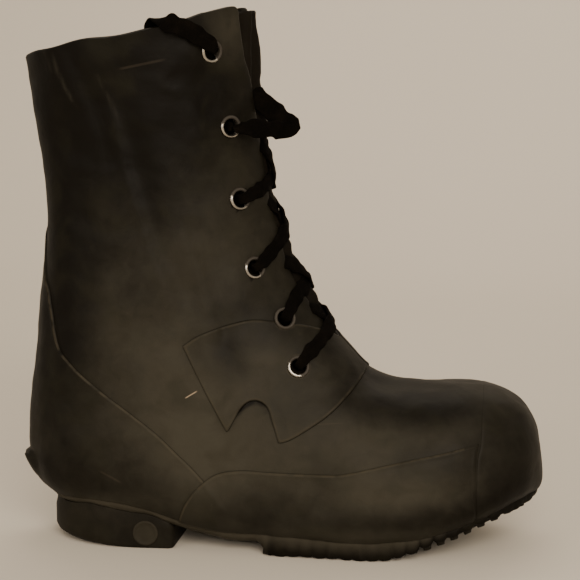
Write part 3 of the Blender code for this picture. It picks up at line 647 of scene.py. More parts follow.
rubberLook = {
    "darkTone": shade(0.0028, 0.0020, 0.0009),
    "paleTone": shade(0.0428, 0.0382, 0.0274),
    "tinge": shade(0.0140, 0.0125, 0.0065),
    "edgeWearAndHighlight": shade(0.050, 0.041, 0.026),
    "charted": True,
    "rough": 0.50,
    "specular": 0.09,
    "edge": 0.0,
    "edgePlace": 0.9,
    "edgeWide": 1.1,
    "edgeShadeAndDirt": 0.0,
    "marks": False,
}
unlitLook = {**rubberLook, "charted": False, "rough": 0.65}
finishes = {
    "upper": rubberFinish("bootRubber", {**rubberLook, "marks": True}),
    "panel": rubberFinish("panelRubber", {**rubberLook, "edge": 0.5, "edgeShadeAndDirt": 0.35, "marks": True}),
    "patch": rubberFinish(
        "patchRubber", {**rubberLook, "edge": 0.3, "edgePlace": 1.3, "edgeWide": 1.0, "edgeShadeAndDirt": 0.6}
    ),
    "sole": rubberFinish(
        "soleRubber", {**rubberLook, "rough": 0.6, "paleTone": shade(0.0455, 0.0396, 0.0280)}
    ),
    "inside": rubberFinish("insideRubber", {**unlitLook, "paleTone": shade(0.010, 0.0075, 0.0050)}),
    # the gusset's pale tone is kept dark, as painted shade
    "gusset": rubberFinish("gussetRubber", {**unlitLook, "paleTone": shade(0.0095, 0.0065, 0.0036)}),
}


def laceFinish():
    # a flat braid: two strands of yarn lean in to the lace's middle line
    finish = Finish("blackLace")
    along = finish.value("along")
    across = finish.value("across")
    lean = (along + abs(across) * 0.85) * 6.2
    yarn = finish.node("ShaderNodeMath", {"operation": "SINE"}, {0: lean})
    rows = finish.node("ShaderNodeMath", {"operation": "SINE"}, {0: across * 7.5})
    weave = yarn * 0.5 + rows * 0.3
    fuzz = finish.noise(1.1, 3.0, 0.7)
    # paler patches where the braid is worn
    paler = finish.reach(finish.noise(11, 3.0, 0.6), 0.42, 0.75)
    thread = finish.reach(weave + (fuzz - 0.5) * 0.8, -0.5, 0.6)
    colour = finish.mix(thread, shade(0.0008, 0.0006, 0.0004), shade(0.0036, 0.0026, 0.0016))
    colour = finish.mix(paler * 0.35, colour, shade(0.0085, 0.0063, 0.0040))
    bumps = finish.bump(weave, 0.16, 0.9)
    bumps = finish.bump(fuzz, 0.25, 0.5, bumps)
    return finish.set(Base_Color=colour, Roughness=0.92, Normal=bumps, Specular_IOR_Level=0.04)


def steelFinish():
    # nickelled steel, dull and brown where dirt sits, and darker where shade is painted on each ring's side
    # away from the light
    finish = Finish("eyeletSteel")
    paintedLight = finish.value("paintedLight")
    # grime also takes the painted light of each ring, so its side away from the light is painted dark as
    # shade
    grimeAndShade = finish.reach(finish.noise(3.6, 4.0, 0.65, 0.5) + (0.60 - paintedLight) * 0.9, 0.44, 0.62)
    tone = finish.noise(7, 2.0)
    colour = finish.mix(tone, shade(0.24, 0.22, 0.19), shade(0.54, 0.51, 0.46))
    colour = finish.mix(grimeAndShade * 0.94, colour, shade(0.022, 0.017, 0.012))
    rough = 0.24 + grimeAndShade * 0.35 + (tone - 0.5) * 0.15
    scratches = finish.noise(0.8, 2.0, 0.7)
    bumps = finish.bump(scratches, 0.05, 0.5)
    finish.set(Metallic=1.0 - grimeAndShade * 0.85, Specular_IOR_Level=0.2)
    return finish.set(Base_Color=colour, Roughness=rough, Normal=bumps)


def feltFinish():
    finish = Finish("greyFelt")
    fibre = finish.noise(0.9, 4.0, 0.75, 1.2)
    patchy = finish.noise(16, 3.0)
    colour = finish.mix(finish.reach(patchy, 0.3, 0.7), shade(0.10, 0.092, 0.080), shade(0.19, 0.178, 0.155))
    colour = finish.mix(finish.reach(fibre, 0.35, 0.7) * 0.5, colour, shade(0.30, 0.28, 0.25))
    bumps = finish.bump(fibre, 0.5, 0.8)
    finish.set(Sheen_Weight=0.3, Sheen_Roughness=0.6)
    return finish.set(Base_Color=colour, Roughness=0.97, Normal=bumps, Specular_IOR_Level=0.15)


finishes["lace"] = laceFinish()
finishes["steel"] = steelFinish()
finishes["felt"] = feltFinish()
print("finishes made")


# dust on the rubber, with painted light and shade: soft areas, in the boot's own sizes
dustShadeChart = {
    "plain": 0.36,
    "lateral": (  # x, z, half width, half height, more or less dust and painted light; the ones below 0 paint shade, as on the shaft's top and back, by the dents at the patch and under the heel's ledge
        (95, 95, 45, 40, 0.32), (128, 60, 34, 26, 0.40), (150, 105, 32, 26, 0.24),
        (92, 150, 34, 40, 0.20), (128, 190, 24, 34, 0.18), (75, 290, 70, 45, -0.38),
        (30, 230, 26, 90, -0.18), (80, 225, 50, 30, -0.05), (28, 130, 20, 60, -0.16),
        (138, 318, 14, 26, 0.36), (140, 240, 14, 26, 0.12), (205, 75, 40, 18, 0.24),
        (240, 44, 50, 17, 0.40), (255, 92, 34, 6, -0.16), (250, 78, 34, 8, 0.16),
        (315, 66, 20, 30, -0.04), (212, 16, 72, 7, 0.22), (300, 100, 22, 12, 0.20),
        (62, 30, 40, 8, 0.18), (180, 60, 40, 20, 0.10), (305, 40, 20, 14, -0.22),
        (268, 33, 26, 8, -0.22), (238, 26, 28, 6, -0.12), (18, 47, 7, 8, -0.2),
        (134, 127, 8, 10, -0.22), (144, 118, 7, 9, -0.18), (116, 128, 6, 9, -0.12),
        (160, 122, 16, 5, 0.12), (195, 104, 12, 8, 0.10),
    ),
    "creases": (  # line of x and z on the lateral side, half width, more dust; the first three are paler lines of dust and painted highlight along fold ridges, the last a painted shadow under the patch's arch
        (((28, 314), (34, 296), (41, 282), (51, 266)), 1.8, 0.42),
        (((22, 314), (27, 302), (32, 290)), 1.7, 0.32),
        (((55, 302), (62, 288), (68, 276), (73, 258)), 2.0, 0.36),
        (((141.5, 86.5), (144.5, 92), (148.8, 95.2), (154.2, 96.3), (159, 94), (161.8, 88.5)), 1.3, -0.6),
    ),
    "medial": (
        (100, 90, 50, 40, 0.26), (90, 165, 40, 40, 0.14), (75, 285, 50, 34, -0.12),
        (30, 190, 22, 100, -0.12), (215, 70, 46, 24, 0.22), (310, 70, 26, 40, -0.14),
    ),
}


def dustShadeAt(points):
    x, y, z = np.moveaxis(points, -1, 0)
    total = np.full(x.shape, dustShadeChart["plain"])
    for side, sideName in sideNames.items():
        share = smooth(side * y, -6.0, 14.0)
        for ax, az, width, height, more in dustShadeChart[sideName]:
            total += share * more * hump(x - ax, width) * hump(z - az, height)
    for line, width, more in dustShadeChart["creases"]:
        reach, share = lineDistance(x, z, smoothLine(line, 4))
        total += more * fadeEnds(share, 0.2, 0.7) * smooth(-y, 2.0, 12.0) * hump(reach, width)
    return np.clip(total, 0.0, 1.0)


# laces: a flat braid, bunched where it goes through an eyelet
laceForm = {
    "width": 8.0,
    "thick": 1.6,
    "boreWidth": 6.4,
    "boreThick": 2.8,
    "step": 1.3,
    "wobble": (0.10, 11.0),  # share of the width, degrees of twist
    "twists": (23.0, 14.0, 9.0),  # lengths of the waves in it
    "cup": (0.35, 17.0),  # how far the edges curl, length over which it changes
    "ends": (0.55, 0.85, 1.0),  # share of the size at the last rings
    "under": -5.4,
    "front": (12.0, -7.0),  # row and height of the bar between the lowest eyelets
    "barDepth": 5.6,
    "crossings": (  # row, angle from the front on the side it starts from, height over the rubber
        (
            (11.76, 35, 1.6), (11.52, 25, 1.4), (11.45, 10, 1.3),
            (11.75, -3, 1.2), (12.45, -13, 0.2), (12.9, -22, -5.4),
        ),
        (
            (13.49, 27, 1.6), (13.50, 17, 1.3), (13.43, 5, 1.4),
            (14.1, -5, 1.2), (14.95, -13, -0.2), (15.5, -21, -5.4),
        ),
        (
            (16.25, 26, 1.6), (16.35, 13, 1.4), (16.9, 2, 1.8),
            (18.2, -3, 1.0), (19.1, -9, -1.2), (19.7, -18, -5.4),
        ),
        (
            (20.37, 27, 1.6), (20.17, 14, 1.4), (20.5, 2, 1.7),
            (21.8, -3, 0.8), (22.6, -10, -1.4), (23.2, -20, -5.4),
        ),
    ),
    "middleWidth": (9.6, 2.1),  # width and thickness over the throat
    "middleTurn": 20.0,
    "bunched": (7.4, 1.9),
    "crossOver": 1.9,
    "crossTurn": 12.0,
}
laceSize = (laceForm["width"], laceForm["thick"])
boreSize = (laceForm["boreWidth"], laceForm["boreThick"])


def layRoute(places):
    # places are point, hint of the face's direction, width, thickness; the result is an even route
    table = smoothLine([(*point, *hint, width, thick) for point, hint, width, thick in places], 10)
    length = lengthAlong(table[:, :3])
    marks = np.linspace(0.0, length[-1], max(6, round(length[-1] / laceForm["step"]) + 1))
    return pointsAlong(table, length, marks), marks


def laceSection(width, thick, points=14):
    # a flat oval with full edges
    turns = circleAngles(points)
    across = np.sign(np.cos(turns)) * np.abs(np.cos(turns)) ** 0.75
    deep = np.sign(np.sin(turns)) * np.abs(np.sin(turns)) ** 0.6
    return across * width / 2, deep * thick / 2


def laceMesh(routes, seed):
    # points, faces and weave values of flat laces along their routes
    points, faces, along, across = [], [], [], []
    for number, places in enumerate(routes):
        dice = np.random.default_rng(seed + number)
        table, marks = layRoute(places)
        middle = table[:, :3]
        ahead = unit(np.gradient(middle, axis=0))
        face = table[:, 3:6]
        face = unit(face - ahead * (face * ahead).sum(-1, keepdims=True))
        side = np.cross(ahead, face)
        waves = [dice.uniform(0, 6.3, 2) for _ in range(3)]
        turns = [2 * math.pi * marks / size for size in laceForm["twists"]]
        twist, swell = (sum(np.sin(turn + wave[k]) for turn, wave in zip(turns, waves)) / 2 for k in (0, 1))
        share, turn = laceForm["wobble"]
        angle = np.radians(turn) * twist
        face, side = (
            face * np.cos(angle)[:, None] + side * np.sin(angle)[:, None],
            side * np.cos(angle)[:, None] - face * np.sin(angle)[:, None],
        )
        first = len(points)
        for index in range(len(marks)):
            width, thick = table[index, 6] * (1 + share * swell[index]), table[index, 7]
            ends = min(index, len(marks) - 1 - index)
            ending = laceForm["ends"][min(ends, 2)]
            wide, deep = laceSection(width * ending, thick * ending)
            size, length = laceForm["cup"]
            cup = size * (wide / (width / 2)) ** 2 * np.sin(marks[index] / length)
            for w, d, c in zip(wide, deep, cup):
                points.append(middle[index] + side[index] * w + face[index] * (d + c))
                along.append(marks[index])
                across.append(w)
        count = len(wide)
        faces += ringFaces(len(marks), count, first)
        for start in (first, first + (len(marks) - 1) * count):
            faces += fanFaces(len(points), count, start)
            points.append(np.mean(points[start : start + count], axis=0))
            along.append(along[start])
            across.append(0.0)
    return np.array(points), faces, {"along": along, "across": across}


def seatOf(side, number):
    return next(seat for seat in eyeletSeats if seat["side"] == side and seat["number"] == number)


def acrossPass(side, number, flip, over):
    # out of one eyelet, over its flap and the throat, and under the other flap to the eyelet above
    start, end = seatOf(side, number), seatOf(-side, number + 1)
    rows, angles, heights = np.array(laceForm["crossings"][number - 1]).T
    turns = turnOf(rows, side * angles)
    lifts = heights + np.where(np.abs(angles) < laceForm["crossTurn"], over, 0.0) * (heights > 0.5)
    path = surface(rows, turns, lifts)
    hints = formNormal(rows, turns) * flip
    width, thick = laceSize
    away = unit(path[0] - start["place"])
    back = unit(path[-1] - end["place"])
    places = [
        (start["place"] - start["out"] * 1.5, -away * flip, *boreSize),
        (start["place"] + start["out"] * 1.6 + away * 0.3, unit(start["out"] * 0.5 - away) * flip, *boreSize),
        (start["place"] + start["out"] * 2.9 + away * 3.2, start["out"] * flip, width * 0.88, thick * 1.25),
    ]
    wide, full = laceForm["middleWidth"]
    for point, hint, angle in zip(path, hints, angles):
        near = abs(angle) < laceForm["middleTurn"]
        places.append((point, hint, wide if near else width * 1.08, full if near else thick))
    under = end["place"] + end["out"] * laceForm["under"]
    places.append((under + back * 4.0, end["out"] * flip, width, thick))
    places.append((under * 0.6 + end["place"] * 0.4, unit(end["out"] + back) * flip, *boreSize))
    return places


def crossedRoute():
    # two strands cross from the bar at eyelets 1 up to eyelets 5; the medial one goes on outside to eyelet 6,
    # and a short length fills the lateral eyelet 6
    left, right = seatOf(-1, 1), seatOf(1, 1)
    row, height = laceForm["front"]
    front = formPoint(row, 0.0) + formNormal(row, 0.0) * height
    bar = [
        (left["place"] - left["out"] * laceForm["barDepth"], left["out"], *laceSize),
        (front, formNormal(row, 0.0), *laceSize),
        (right["place"] - right["out"] * laceForm["barDepth"], right["out"], *laceSize),
    ]
    lines = [bar]
    for side in (-1, 1):
        flip = 1.0
        line = []
        for number in (1, 2, 3, 4):
            over = laceForm["crossOver"] if (number % 2 == 1) == (side < 0) else 0.0
            line += acrossPass(side, number, flip, over)
            side = -side
            flip = -flip
        seat = seatOf(side, 5)
        line.append((seat["place"] + seat["out"] * 1.2, line[-1][1], *boreSize))
        lines.append(line)
    fifth, sixth = seatOf(1, 5), seatOf(1, 6)
    rows = np.linspace(fifth["row"] + 0.8, sixth["row"] - 0.7, 4)
    turns = np.interp(rows, (fifth["row"], sixth["row"]), (fifth["turn"], sixth["turn"]))
    up = unit(sixth["place"] - fifth["place"])
    path = zip(surface(rows, turns, 1.6), formNormal(rows, turns))
    outside = [
        (fifth["place"] + fifth["out"] * 0.4, -up, *boreSize),
        (fifth["place"] + fifth["out"] * 2.8 + up * 2.2, fifth["out"], *laceForm["bunched"]),
        *((point, hint, *laceSize) for point, hint in path),
        (sixth["place"] + sixth["out"] * 2.8 - up * 2.2, sixth["out"], *laceForm["bunched"]),
        (sixth["place"] + sixth["out"] * 0.4, up, *boreSize),
        (sixth["place"] - sixth["out"] * 6.5, up, *boreSize),
    ]
    stub = seatOf(-1, 6)
    down = np.array((0.0, 0.0, -1.0))
    inside = [(stub["place"] - stub["out"] * deep, down, *boreSize) for deep in (6.5, 3.5, 0.5, -2.5)]
    return [*lines, outside, inside]


freeLaces = {
    "lace_loop": {  # place, direction of the flat side, width, thickness
        "places": (
            ((139.1, -28.2, 262.7), (0.1, -0.2, 1.0), 6.4, 2.8),
            ((141.1, -30.1, 262.7), (0.5, -0.7, 0.4), 7.0, 2.2),
            ((145.8, -31.8, 262.0), (0.15, -1.0, 0.15), 8.2, 1.7),
            ((152.5, -28.0, 261.9), (0.25, -0.95, 0.2), 11.4, 1.6),
            ((160.5, -21.0, 260.8), (0.3, -0.95, 0.15), 11.0, 1.6),
            ((168.0, -14.5, 260.1), (0.4, -0.9, 0.1), 10.2, 1.8),
            ((172.8, -11.5, 263.0), (0.35, -0.9, 0.2), 11.0, 1.9),
            ((167.6, -9.5, 265.6), (0.25, -0.95, 0.15), 12.3, 1.8),
            ((161.0, -8.8, 271.0), (0.1, -1.0, 0.15), 12.6, 1.6),
            ((154.2, -8.8, 276.8), (0.1, -1.0, 0.15), 12.6, 1.6),
            ((147.4, -9.6, 283.4), (0.1, -1.0, 0.15), 12.4, 1.6),
        ),
        "end": "object",
    },
    "lace_collar_end": {
        "places": (
            ((128.4, -39.3, 308.4), (-0.5, -0.3, 0.8), 6.4, 2.8),
            ((129.4, -41.2, 308.8), (0.3, -0.8, 0.5), 6.8, 2.2),
            ((127.2, -43.0, 311.8), (0.15, -1.0, 0.1), 8.2, 1.8),
            ((121.0, -45.6, 316.3), (0.2, -1.0, 0.1), 10.4, 1.7),
            ((114.0, -48.4, 320.9), (0.2, -1.0, 0.15), 11.4, 1.7),
            ((107.0, -50.2, 323.4), (0.1, -0.95, 0.3), 11.6, 1.7),
            ((100.0, -49.4, 325.6), (0.1, -0.8, 0.6), 10.8, 1.7),
            ((93.6, -44.0, 326.3), (0.0, 0.3, 0.95), 9.4, 1.7),
            ((90.2, -39.8, 319.6), (0.0, 1.0, 0.1), 8.6, 1.6),
            ((91.0, -39.5, 310.0), (0.0, 1.0, 0.0), 8.0, 1.6),
            ((90.0, -39.0, 298.0), (0.0, 1.0, 0.0), 8.0, 1.6),
            ((89.0, -38.5, 286.0), (0.0, 1.0, 0.0), 8.0, 1.6),
        ),
        "end": "bare",
    },
}


def makeFreeLace(name, look, seed):
    places = [(np.array(point), unit(np.array(hint)), *size) for point, hint, *size in look["places"]]
    table, marks = layRoute(places)
    points, faces, values = laceMesh([places], seed)
    piece = place(meshPiece(name + "_braid", points, faces, [finishes["lace"]], values), "black_lace", name)


for seed, (name, look) in enumerate(freeLaces.items()):
    makeFreeLace(name, look, 40 + seed)
lacePoints, laceFaces, laceValues = laceMesh(crossedRoute(), 3)
crossedLace = meshPiece("lace_crossed", lacePoints, laceFaces, [finishes["lace"]], laceValues)
crossingNodes = [f"lace_crossing_{number}" for number in (1, 2, 3, 4)]
place(crossedLace, "black_lace", *crossingNodes, "lace_bar_medial")
print("laces made")


# the upper: one hollow rubber shell, open at the collar and the throat
upperForm = {
    "rowStep": 0.125,
    "columns": 128,
    "rollSteps": 4,
    "rimRound": 0.55,
    "cornerRound": (0.30, 4.0),
    "holeRadius": 5.8,
    "holeDepth": 9.0,
    "holeSides": 24,
}


def upperRows():
    rows = np.arange(0.0, lastRow + 1e-9, upperForm["rowStep"])
    nearThroat = throatStart + np.array((0.0, 0.02, 0.06, 0.12, 0.2))
    nearCollar = lastRow - np.array((0.02, 0.05, 0.09, 0.18))
    rows = np.concatenate([rows, [0.04], nearThroat, nearCollar])
    rows = np.unique(np.round(rows, 4))
    keep = np.concatenate([[True], np.diff(rows) > 0.012])
    return rows[keep]


def edgeTurn(row, side):
    # a flap's front edge, with its top corner rounded
    share, size = upperForm["cornerRound"]
    into = max(0.0, (row - (lastRow - share)) / share)
    half = sectionAt(row)[sideNames[side]]
    extra = np.degrees(size * (1 - math.sqrt(max(0.0, 1 - into * into))) / half)
    return float(flapTurn(row, side)) + side * extra


def evenTurns(row, start, end, count):
    turns = np.linspace(start, end, 721)
    length = lengthAlong(formPoint(np.full(turns.shape, row), turns))
    return np.interp(np.linspace(0.0, length[-1], count), length, turns)


def roundBetween(first, second, ahead, steps):
    # points on a half round from one place to another, bulging ahead
    middle = (first + second) / 2
    reach = (first - second) / 2
    radius = np.linalg.norm(reach)
    angles = np.pi * np.arange(1, steps + 1) / (steps + 1)
    return [middle + reach * math.cos(angle) + ahead * radius * math.sin(angle) for angle in angles]


def makeUpper():
    rows = upperRows()
    count, steps = upperForm["columns"], upperForm["rollSteps"]
    # round a ring: the outer side, the far edge's roll, the inner side back, the near edge's roll
    innerFirst, innerLast, size = count + steps, 2 * count + steps - 1, 2 * (count + steps)
    points, rings, openRows = [], [], []
    for row in rows:
        isOpen = row > throatStart + 1e-6
        near, far = (edgeTurn(row, -1), edgeTurn(row, 1)) if isOpen else (0.0, 0.0)
        turns = evenTurns(max(row, bootForm["lowestRow"]), near, far - 360.0, count)
        level = np.full(turns.shape, row)
        outer = surface(level, turns)
        inner = surface(level, turns, -wallAt(level, turns, formNormal(level, turns)))
        if row == 0.0:
            outer[:] = outer.mean(axis=0)
            inner[:] = inner.mean(axis=0)
        first = len(points)
        points += list(outer) + roundBetween(outer[-1], inner[-1], unit(outer[-1] - outer[-2]), steps)
        points += list(inner[::-1]) + roundBetween(inner[0], outer[0], unit(outer[0] - outer[1]), steps)
        ring = np.arange(first, first + size)
        if not isOpen:  # both edges meet, and share one line of points through the wall
            ring[count - 1] = ring[0]
            ring[innerFirst] = ring[innerLast]
            for k in range(steps):
                points[first + count + k] = outer[0] + (inner[0] - outer[0]) * (k + 1) / (steps + 1)
                ring[size - 1 - k] = first + count + k
        if row == 0.0:
            ring[:count] = ring[0]
            ring[innerFirst:innerLast] = ring[innerLast]
        rings.append(ring)
        openRows.append(isOpen)
    faces, inside = [], []

    def addFace(corners, isInside=0):
        face = list(dict.fromkeys(corners))
        if len(face) > 2:
            faces.append(face)
            inside.append(isInside)

    for index in range(len(rows) - 1):
        here, there = rings[index], rings[index + 1]
        for corner in range(size):
            after = (corner + 1) % size
            roll = count - 1 <= corner < innerFirst or corner >= innerLast
            if openRows[index] or openRows[index + 1] or not roll:
                corners = (here[corner], here[after], there[after], there[corner])
                addFace(corners, 1 if innerFirst <= corner < innerLast else 0)
    # the collar's rim, rounded over from the outer to the inner side
    top, below = rings[-1], rings[-2]
    rims = []
    for column in range(count):
        outerPoint, innerPoint = points[top[column]], points[top[innerLast - column]]
        ahead = unit(outerPoint - points[below[column]])
        across = unit(outerPoint - innerPoint)
        ahead = unit(ahead - across * (ahead @ across))
        first = len(points)
        points += roundBetween(outerPoint, innerPoint, ahead * upperForm["rimRound"], steps)
        rims.append([top[column], *range(first, first + steps), top[innerLast - column]])
    farRoll = list(top[count - 1 : innerFirst + 1])
    nearRoll = [top[0], *top[:innerLast:-1], top[innerLast]]
    for here, there in [*zip(rims[:-1], rims[1:]), (rims[-1], farRoll), (rims[0], nearRoll)]:
        for step in range(steps + 1):
            addFace((here[step], there[step], there[step + 1], here[step + 1]))
    points = np.array(points)
    values = evenDustShade(len(points), dustShadeAt(points))
    upper = meshPiece("upper_rubber", points, faces, [finishes["upper"], finishes["inside"]], values, inside)
    print("upper edges not closed:", openEdges(upper.data))
    return upper


def eyeletDrill():
    # the twelve holes in one mesh of short round bars
    points, faces = [], []
    radius, depth, sides = upperForm["holeRadius"], upperForm["holeDepth"], upperForm["holeSides"]
    for seat in eyeletSeats:
        up = unit(np.cross(seat["across"], seat["out"]))
        first = len(points)
        for reach in (-depth, depth):
            for angle in circleAngles(sides):
                aside = seat["across"] * math.cos(angle) + up * math.sin(angle)
                points.append(seat["place"] + seat["out"] * reach + aside * radius)
        faces += ringFaces(2, sides, first)
        faces.append(tuple(range(first, first + sides))[::-1])
        faces.append(tuple(range(first + sides, first + 2 * sides)))
    return meshPiece("eyeletDrill", points, faces, [finishes["inside"]])


def cutHoles(piece):
    drill = eyeletDrill()
    cut = piece.modifiers.new("holes", "BOOLEAN")
    cut.operation = "DIFFERENCE"
    cut.solver = "EXACT"
    cut.object = drill
    shape = bpy.context.evaluated_depsgraph_get()
    mesh = bpy.data.meshes.new_from_object(piece.evaluated_get(shape))
    piece.modifiers.clear()
    piece.data = mesh
    mesh.shade_smooth()
    bpy.data.objects.remove(drill)


upper = makeUpper()
cutHoles(upper)
upper.data.set_sharp_from_angle(angle=math.radians(50))
place(upper, "black_rubber", "upper")
print("upper made", len(upper.data.polygons))


# panels that lie on the upper, each a thin closed skin with a rounded edge
panelForm = {
    "levels": (0.12, 0.35, 0.8, 1.5, 2.2, 3.2),
    "tuck": -0.35,
    "back": -0.9,
    "weld": 0.00002,
    "bottomBelow": 60.0,
    "throatGap": (0.5, 1.0),  # half the gap in front of the throat, and beyond its edge along it
}


def strokeOutline(strokes):
    # a closed outline from smooth strokes that meet at real corners; each starts where the last one ends
    line = []
    corner = strokes[-1][-1]
    for stroke in strokes:
        points = (corner, *stroke)
        part = smoothLine(points, 5) if len(points) > 2 else np.array(points, dtype=float)
        line += list(part[:-1])
        corner = stroke[-1]
    return np.array(line)


def formDepth(points, normals, outline, axes):
    # distance in from an outline seen along one axis, measured along the boot's surface
    first, second = points[..., axes[0]], points[..., axes[1]]
    reach = insideDistance(first, second, outline)
    step = 0.4
    leanFirst = (insideDistance(first + step, second, outline) - reach) / step
    leanSecond = (insideDistance(first, second + step, outline) - reach) / step
    into = leanFirst * normals[..., axes[0]] + leanSecond * normals[..., axes[1]]
    return reach / np.sqrt(np.clip(1 - into**2, 0.12, 1.0))


def cutGrid(rows, turns, depthAt, levels):
    # a grid over rows and turns, cut off where the depth is below 0, with an edge along each level
    rowGrid, turnGrid = np.meshgrid(rows, turns, indexing="ij")
    depth = depthAt(rowGrid, turnGrid)
    places = np.stack([rowGrid, turnGrid, depth], axis=-1).reshape(-1, 3)
    width = len(turns)
    work = bmesh.new()
    verts = [work.verts.new(spot) for spot in places]
    for i in range(len(rows) - 1):
        for j in range(width - 1):
            corners = (i * width + j, i * width + j + 1, (i + 1) * width + j + 1, (i + 1) * width + j)
            if max(places[c][2] for c in corners) > 0:
                work.faces.new([verts[c] for c in corners])
    for level in (0.0, *levels):
        bmesh.ops.bisect_plane(
            work,
            geom=[*work.verts, *work.edges, *work.faces],
            dist=1e-5,
            plane_co=(0, 0, level),
            plane_no=(0, 0, 1),
            clear_inner=level == 0.0,
        )
    bmesh.ops.delete(work, geom=[v for v in work.verts if not v.link_faces], context="VERTS")
    work.verts.index_update()
    spots = np.array([v.co for v in work.verts])
    rim = np.array([v.is_boundary and abs(v.co.z) < 1e-3 for v in work.verts])
    faces = [[v.index for v in face.verts] for face in work.faces]
    work.free()
    return spots, rim, faces


def closeSkin(top, bottom, rim, faces):
    # two skins joined at the rim; the result's first points are the top ones
    under = np.arange(len(top)) + len(top)
    under[rim] = np.nonzero(rim)[0]
    points = np.vstack([top, bottom])
    backs = [[under[i] for i in face][::-1] for face in faces]
    return points, [*faces, *backs]


def edgeRise(depth, width):
    # a rounded edge: 0 at the outline, 1 from its width in
    return np.sqrt(1 - (1 - np.clip(depth / width, 0.0, 1.0)) ** 2)


def makePanel(name, look, *nodes):
    rows = np.arange(look["rows"][0], look["rows"][1] + 1e-9, look["rowStep"])
    turns = np.arange(look["turns"][0], look["turns"][1] + 1e-9, look["turnStep"])

    def depthAt(row, turn):
        base = formPoint(row, turn)
        normal = formNormal(row, turn)
        depth = formDepth(base, normal, strokeOutline(look["strokes"]), (0, 2))
        bottom = -formDepth(base, normal, soleRing, (0, 1)) + look.get("overlap", 1.0)
        depth = np.where(base[..., 2] < panelForm["bottomBelow"], np.minimum(depth, bottom), depth)
        if look.get("atThroat"):
            front, beyond = panelForm["throatGap"]
            gap = np.where(row < throatStart, front, gapAt(row) + beyond)
            depth = np.minimum(depth, np.abs(base[..., 1]) - gap)
            for seat in eyeletSeats:
                hole = np.linalg.norm(base - seat["place"], axis=-1) - upperForm["holeRadius"]
                depth = np.minimum(depth, hole)
        return depth

    spots, rim, faces = cutGrid(rows, turns, depthAt, panelForm["levels"])
    row, turn, depth = spots.T
    base = formPoint(row, turn)
    thick = np.full(depth.shape, look["thick"])
    for axis, key in ((2, "thinUp"), (0, "thinAhead")):
        if key in look:
            low, high, share = look[key]
            thick *= 1 - share * smooth(base[:, axis], low, high)
    beadPlace, beadWidth, beadHeight = look["bead"]
    height = edgeRise(depth, look["round"]) * thick + beadHeight * hump(depth - beadPlace, beadWidth)
    for extra in look.get("extras", ()):
        height = height + extra(base)
    height = np.where(rim, panelForm["tuck"], height)
    top = surface(row, turn, height)
    bottom = surface(row, turn, panelForm["back"])
    tip = row < 1e-6
    if tip.any():  # the toe's first row is one place
        top[tip] = top[tip].mean(axis=0)
        bottom[tip] = bottom[tip].mean(axis=0)
    points, faces = closeSkin(top, bottom, rim, faces)
    edge = np.where(base[:, 0] > look.get("quiet", 999.0), farEdge, np.clip(depth, 0, farEdge))
    values = {"dustShade": np.tile(dustShadeAt(base), 2), "edge": np.tile(edge, 2)}
    piece = meshPiece(name, points, faces, [finishes[look["finish"]]], values, weld=panelForm["weld"])
    place(piece, "black_rubber", *nodes)
    print(name, len(piece.data.polygons), "edges not closed:", openEdges(piece.data))


ledgeForm = {"low": 39.5, "high": 53.5, "drop": 2.2, "proud": 4.2, "half": (17.0, 25.0), "lastX": 40.0}


def strapLedge(base):
    # the small ledge at the back of the heel: flat above, running out below
    z = base[..., 2]
    share = np.clip((z - ledgeForm["low"]) / (ledgeForm["high"] - ledgeForm["low"]), 0.0, 1.0)
    top = 1 - smooth(z, ledgeForm["high"], ledgeForm["high"] + ledgeForm["drop"])
    across = 1 - smooth(np.abs(base[..., 1]), *ledgeForm["half"])
    return ledgeForm["proud"] * share * top * across * (base[..., 0] < ledgeForm["lastX"])


def strokeBead(line, width, height):
    # a soft raised line on a panel, along a line of x and z
    def rise(base):
        reach, share = lineDistance(base[..., 0], base[..., 2], smoothLine(line, 5))
        return height * fadeEnds(share, 0.1, 0.75) * hump(reach, width)

    return rise


lapForm = {"over": 0.8, "until": (130.0, 152.0), "under": 0.75, "edge": (-0.4, 1.0)}


def overCounter(base):
    # the sidewall lies over the heel counter's front edge
    return lapForm["over"] * (1 - smooth(base[..., 0], *lapForm["until"]))


def underSidewall(base):
    # the heel counter is drawn thin where the sidewall covers it
    outline = strokeOutline(sidewallLook["strokes"])
    covered = smooth(insideDistance(base[..., 0], base[..., 2], outline), *lapForm["edge"])
    return -lapForm["under"] * covered


notchLift = {"middle": (152.0, 88.0), "size": (17.0, 12.0), "height": 1.7}


def liftNotch(base):
    # the patch stands away from the boot over its arch
    (x, z), (width, height) = notchLift["middle"], notchLift["size"]
    return notchLift["height"] * hump(base[..., 0] - x, width) * hump(base[..., 2] - z, height)


sidewallLook = {
    "rows": (2.5, 14.5), "rowStep": 0.075, "turnStep": 1.4,
    "turns": {"lateral": (-178, -20), "medial": (20, 178)},
    "strokes": (  # x and z of each stroke's points
        ((101, 10),),
        ((107, 26.5), (110.8, 34), (116.4, 41.6), (126, 50), (135, 53.6), (146, 55.2)),
        (
            (175, 54.8), (202, 55.4), (213, 57.2), (225, 60.0), (238, 63), (252, 66), (270, 69.5),
            (289.2, 74),
        ),
        ((287.6, 67), (287.0, 58)),
        ((287.0, -60),),
        ((98, -60),),
    ),
    "thick": 1.2, "round": 1.9, "bead": (1.7, 1.0, 0.22), "finish": "panel", "quiet": 281.0,
    "thinAhead": (258.0, 287.0, 0.55),
    "extras": (
        overCounter,
        strokeBead(((117, 52), (124, 43), (131, 34), (138, 25)), 1.3, 0.6),
        strokeBead(((210, 52), (236, 57), (262, 61), (282, 68)), 1.6, 0.18),
    ),
}
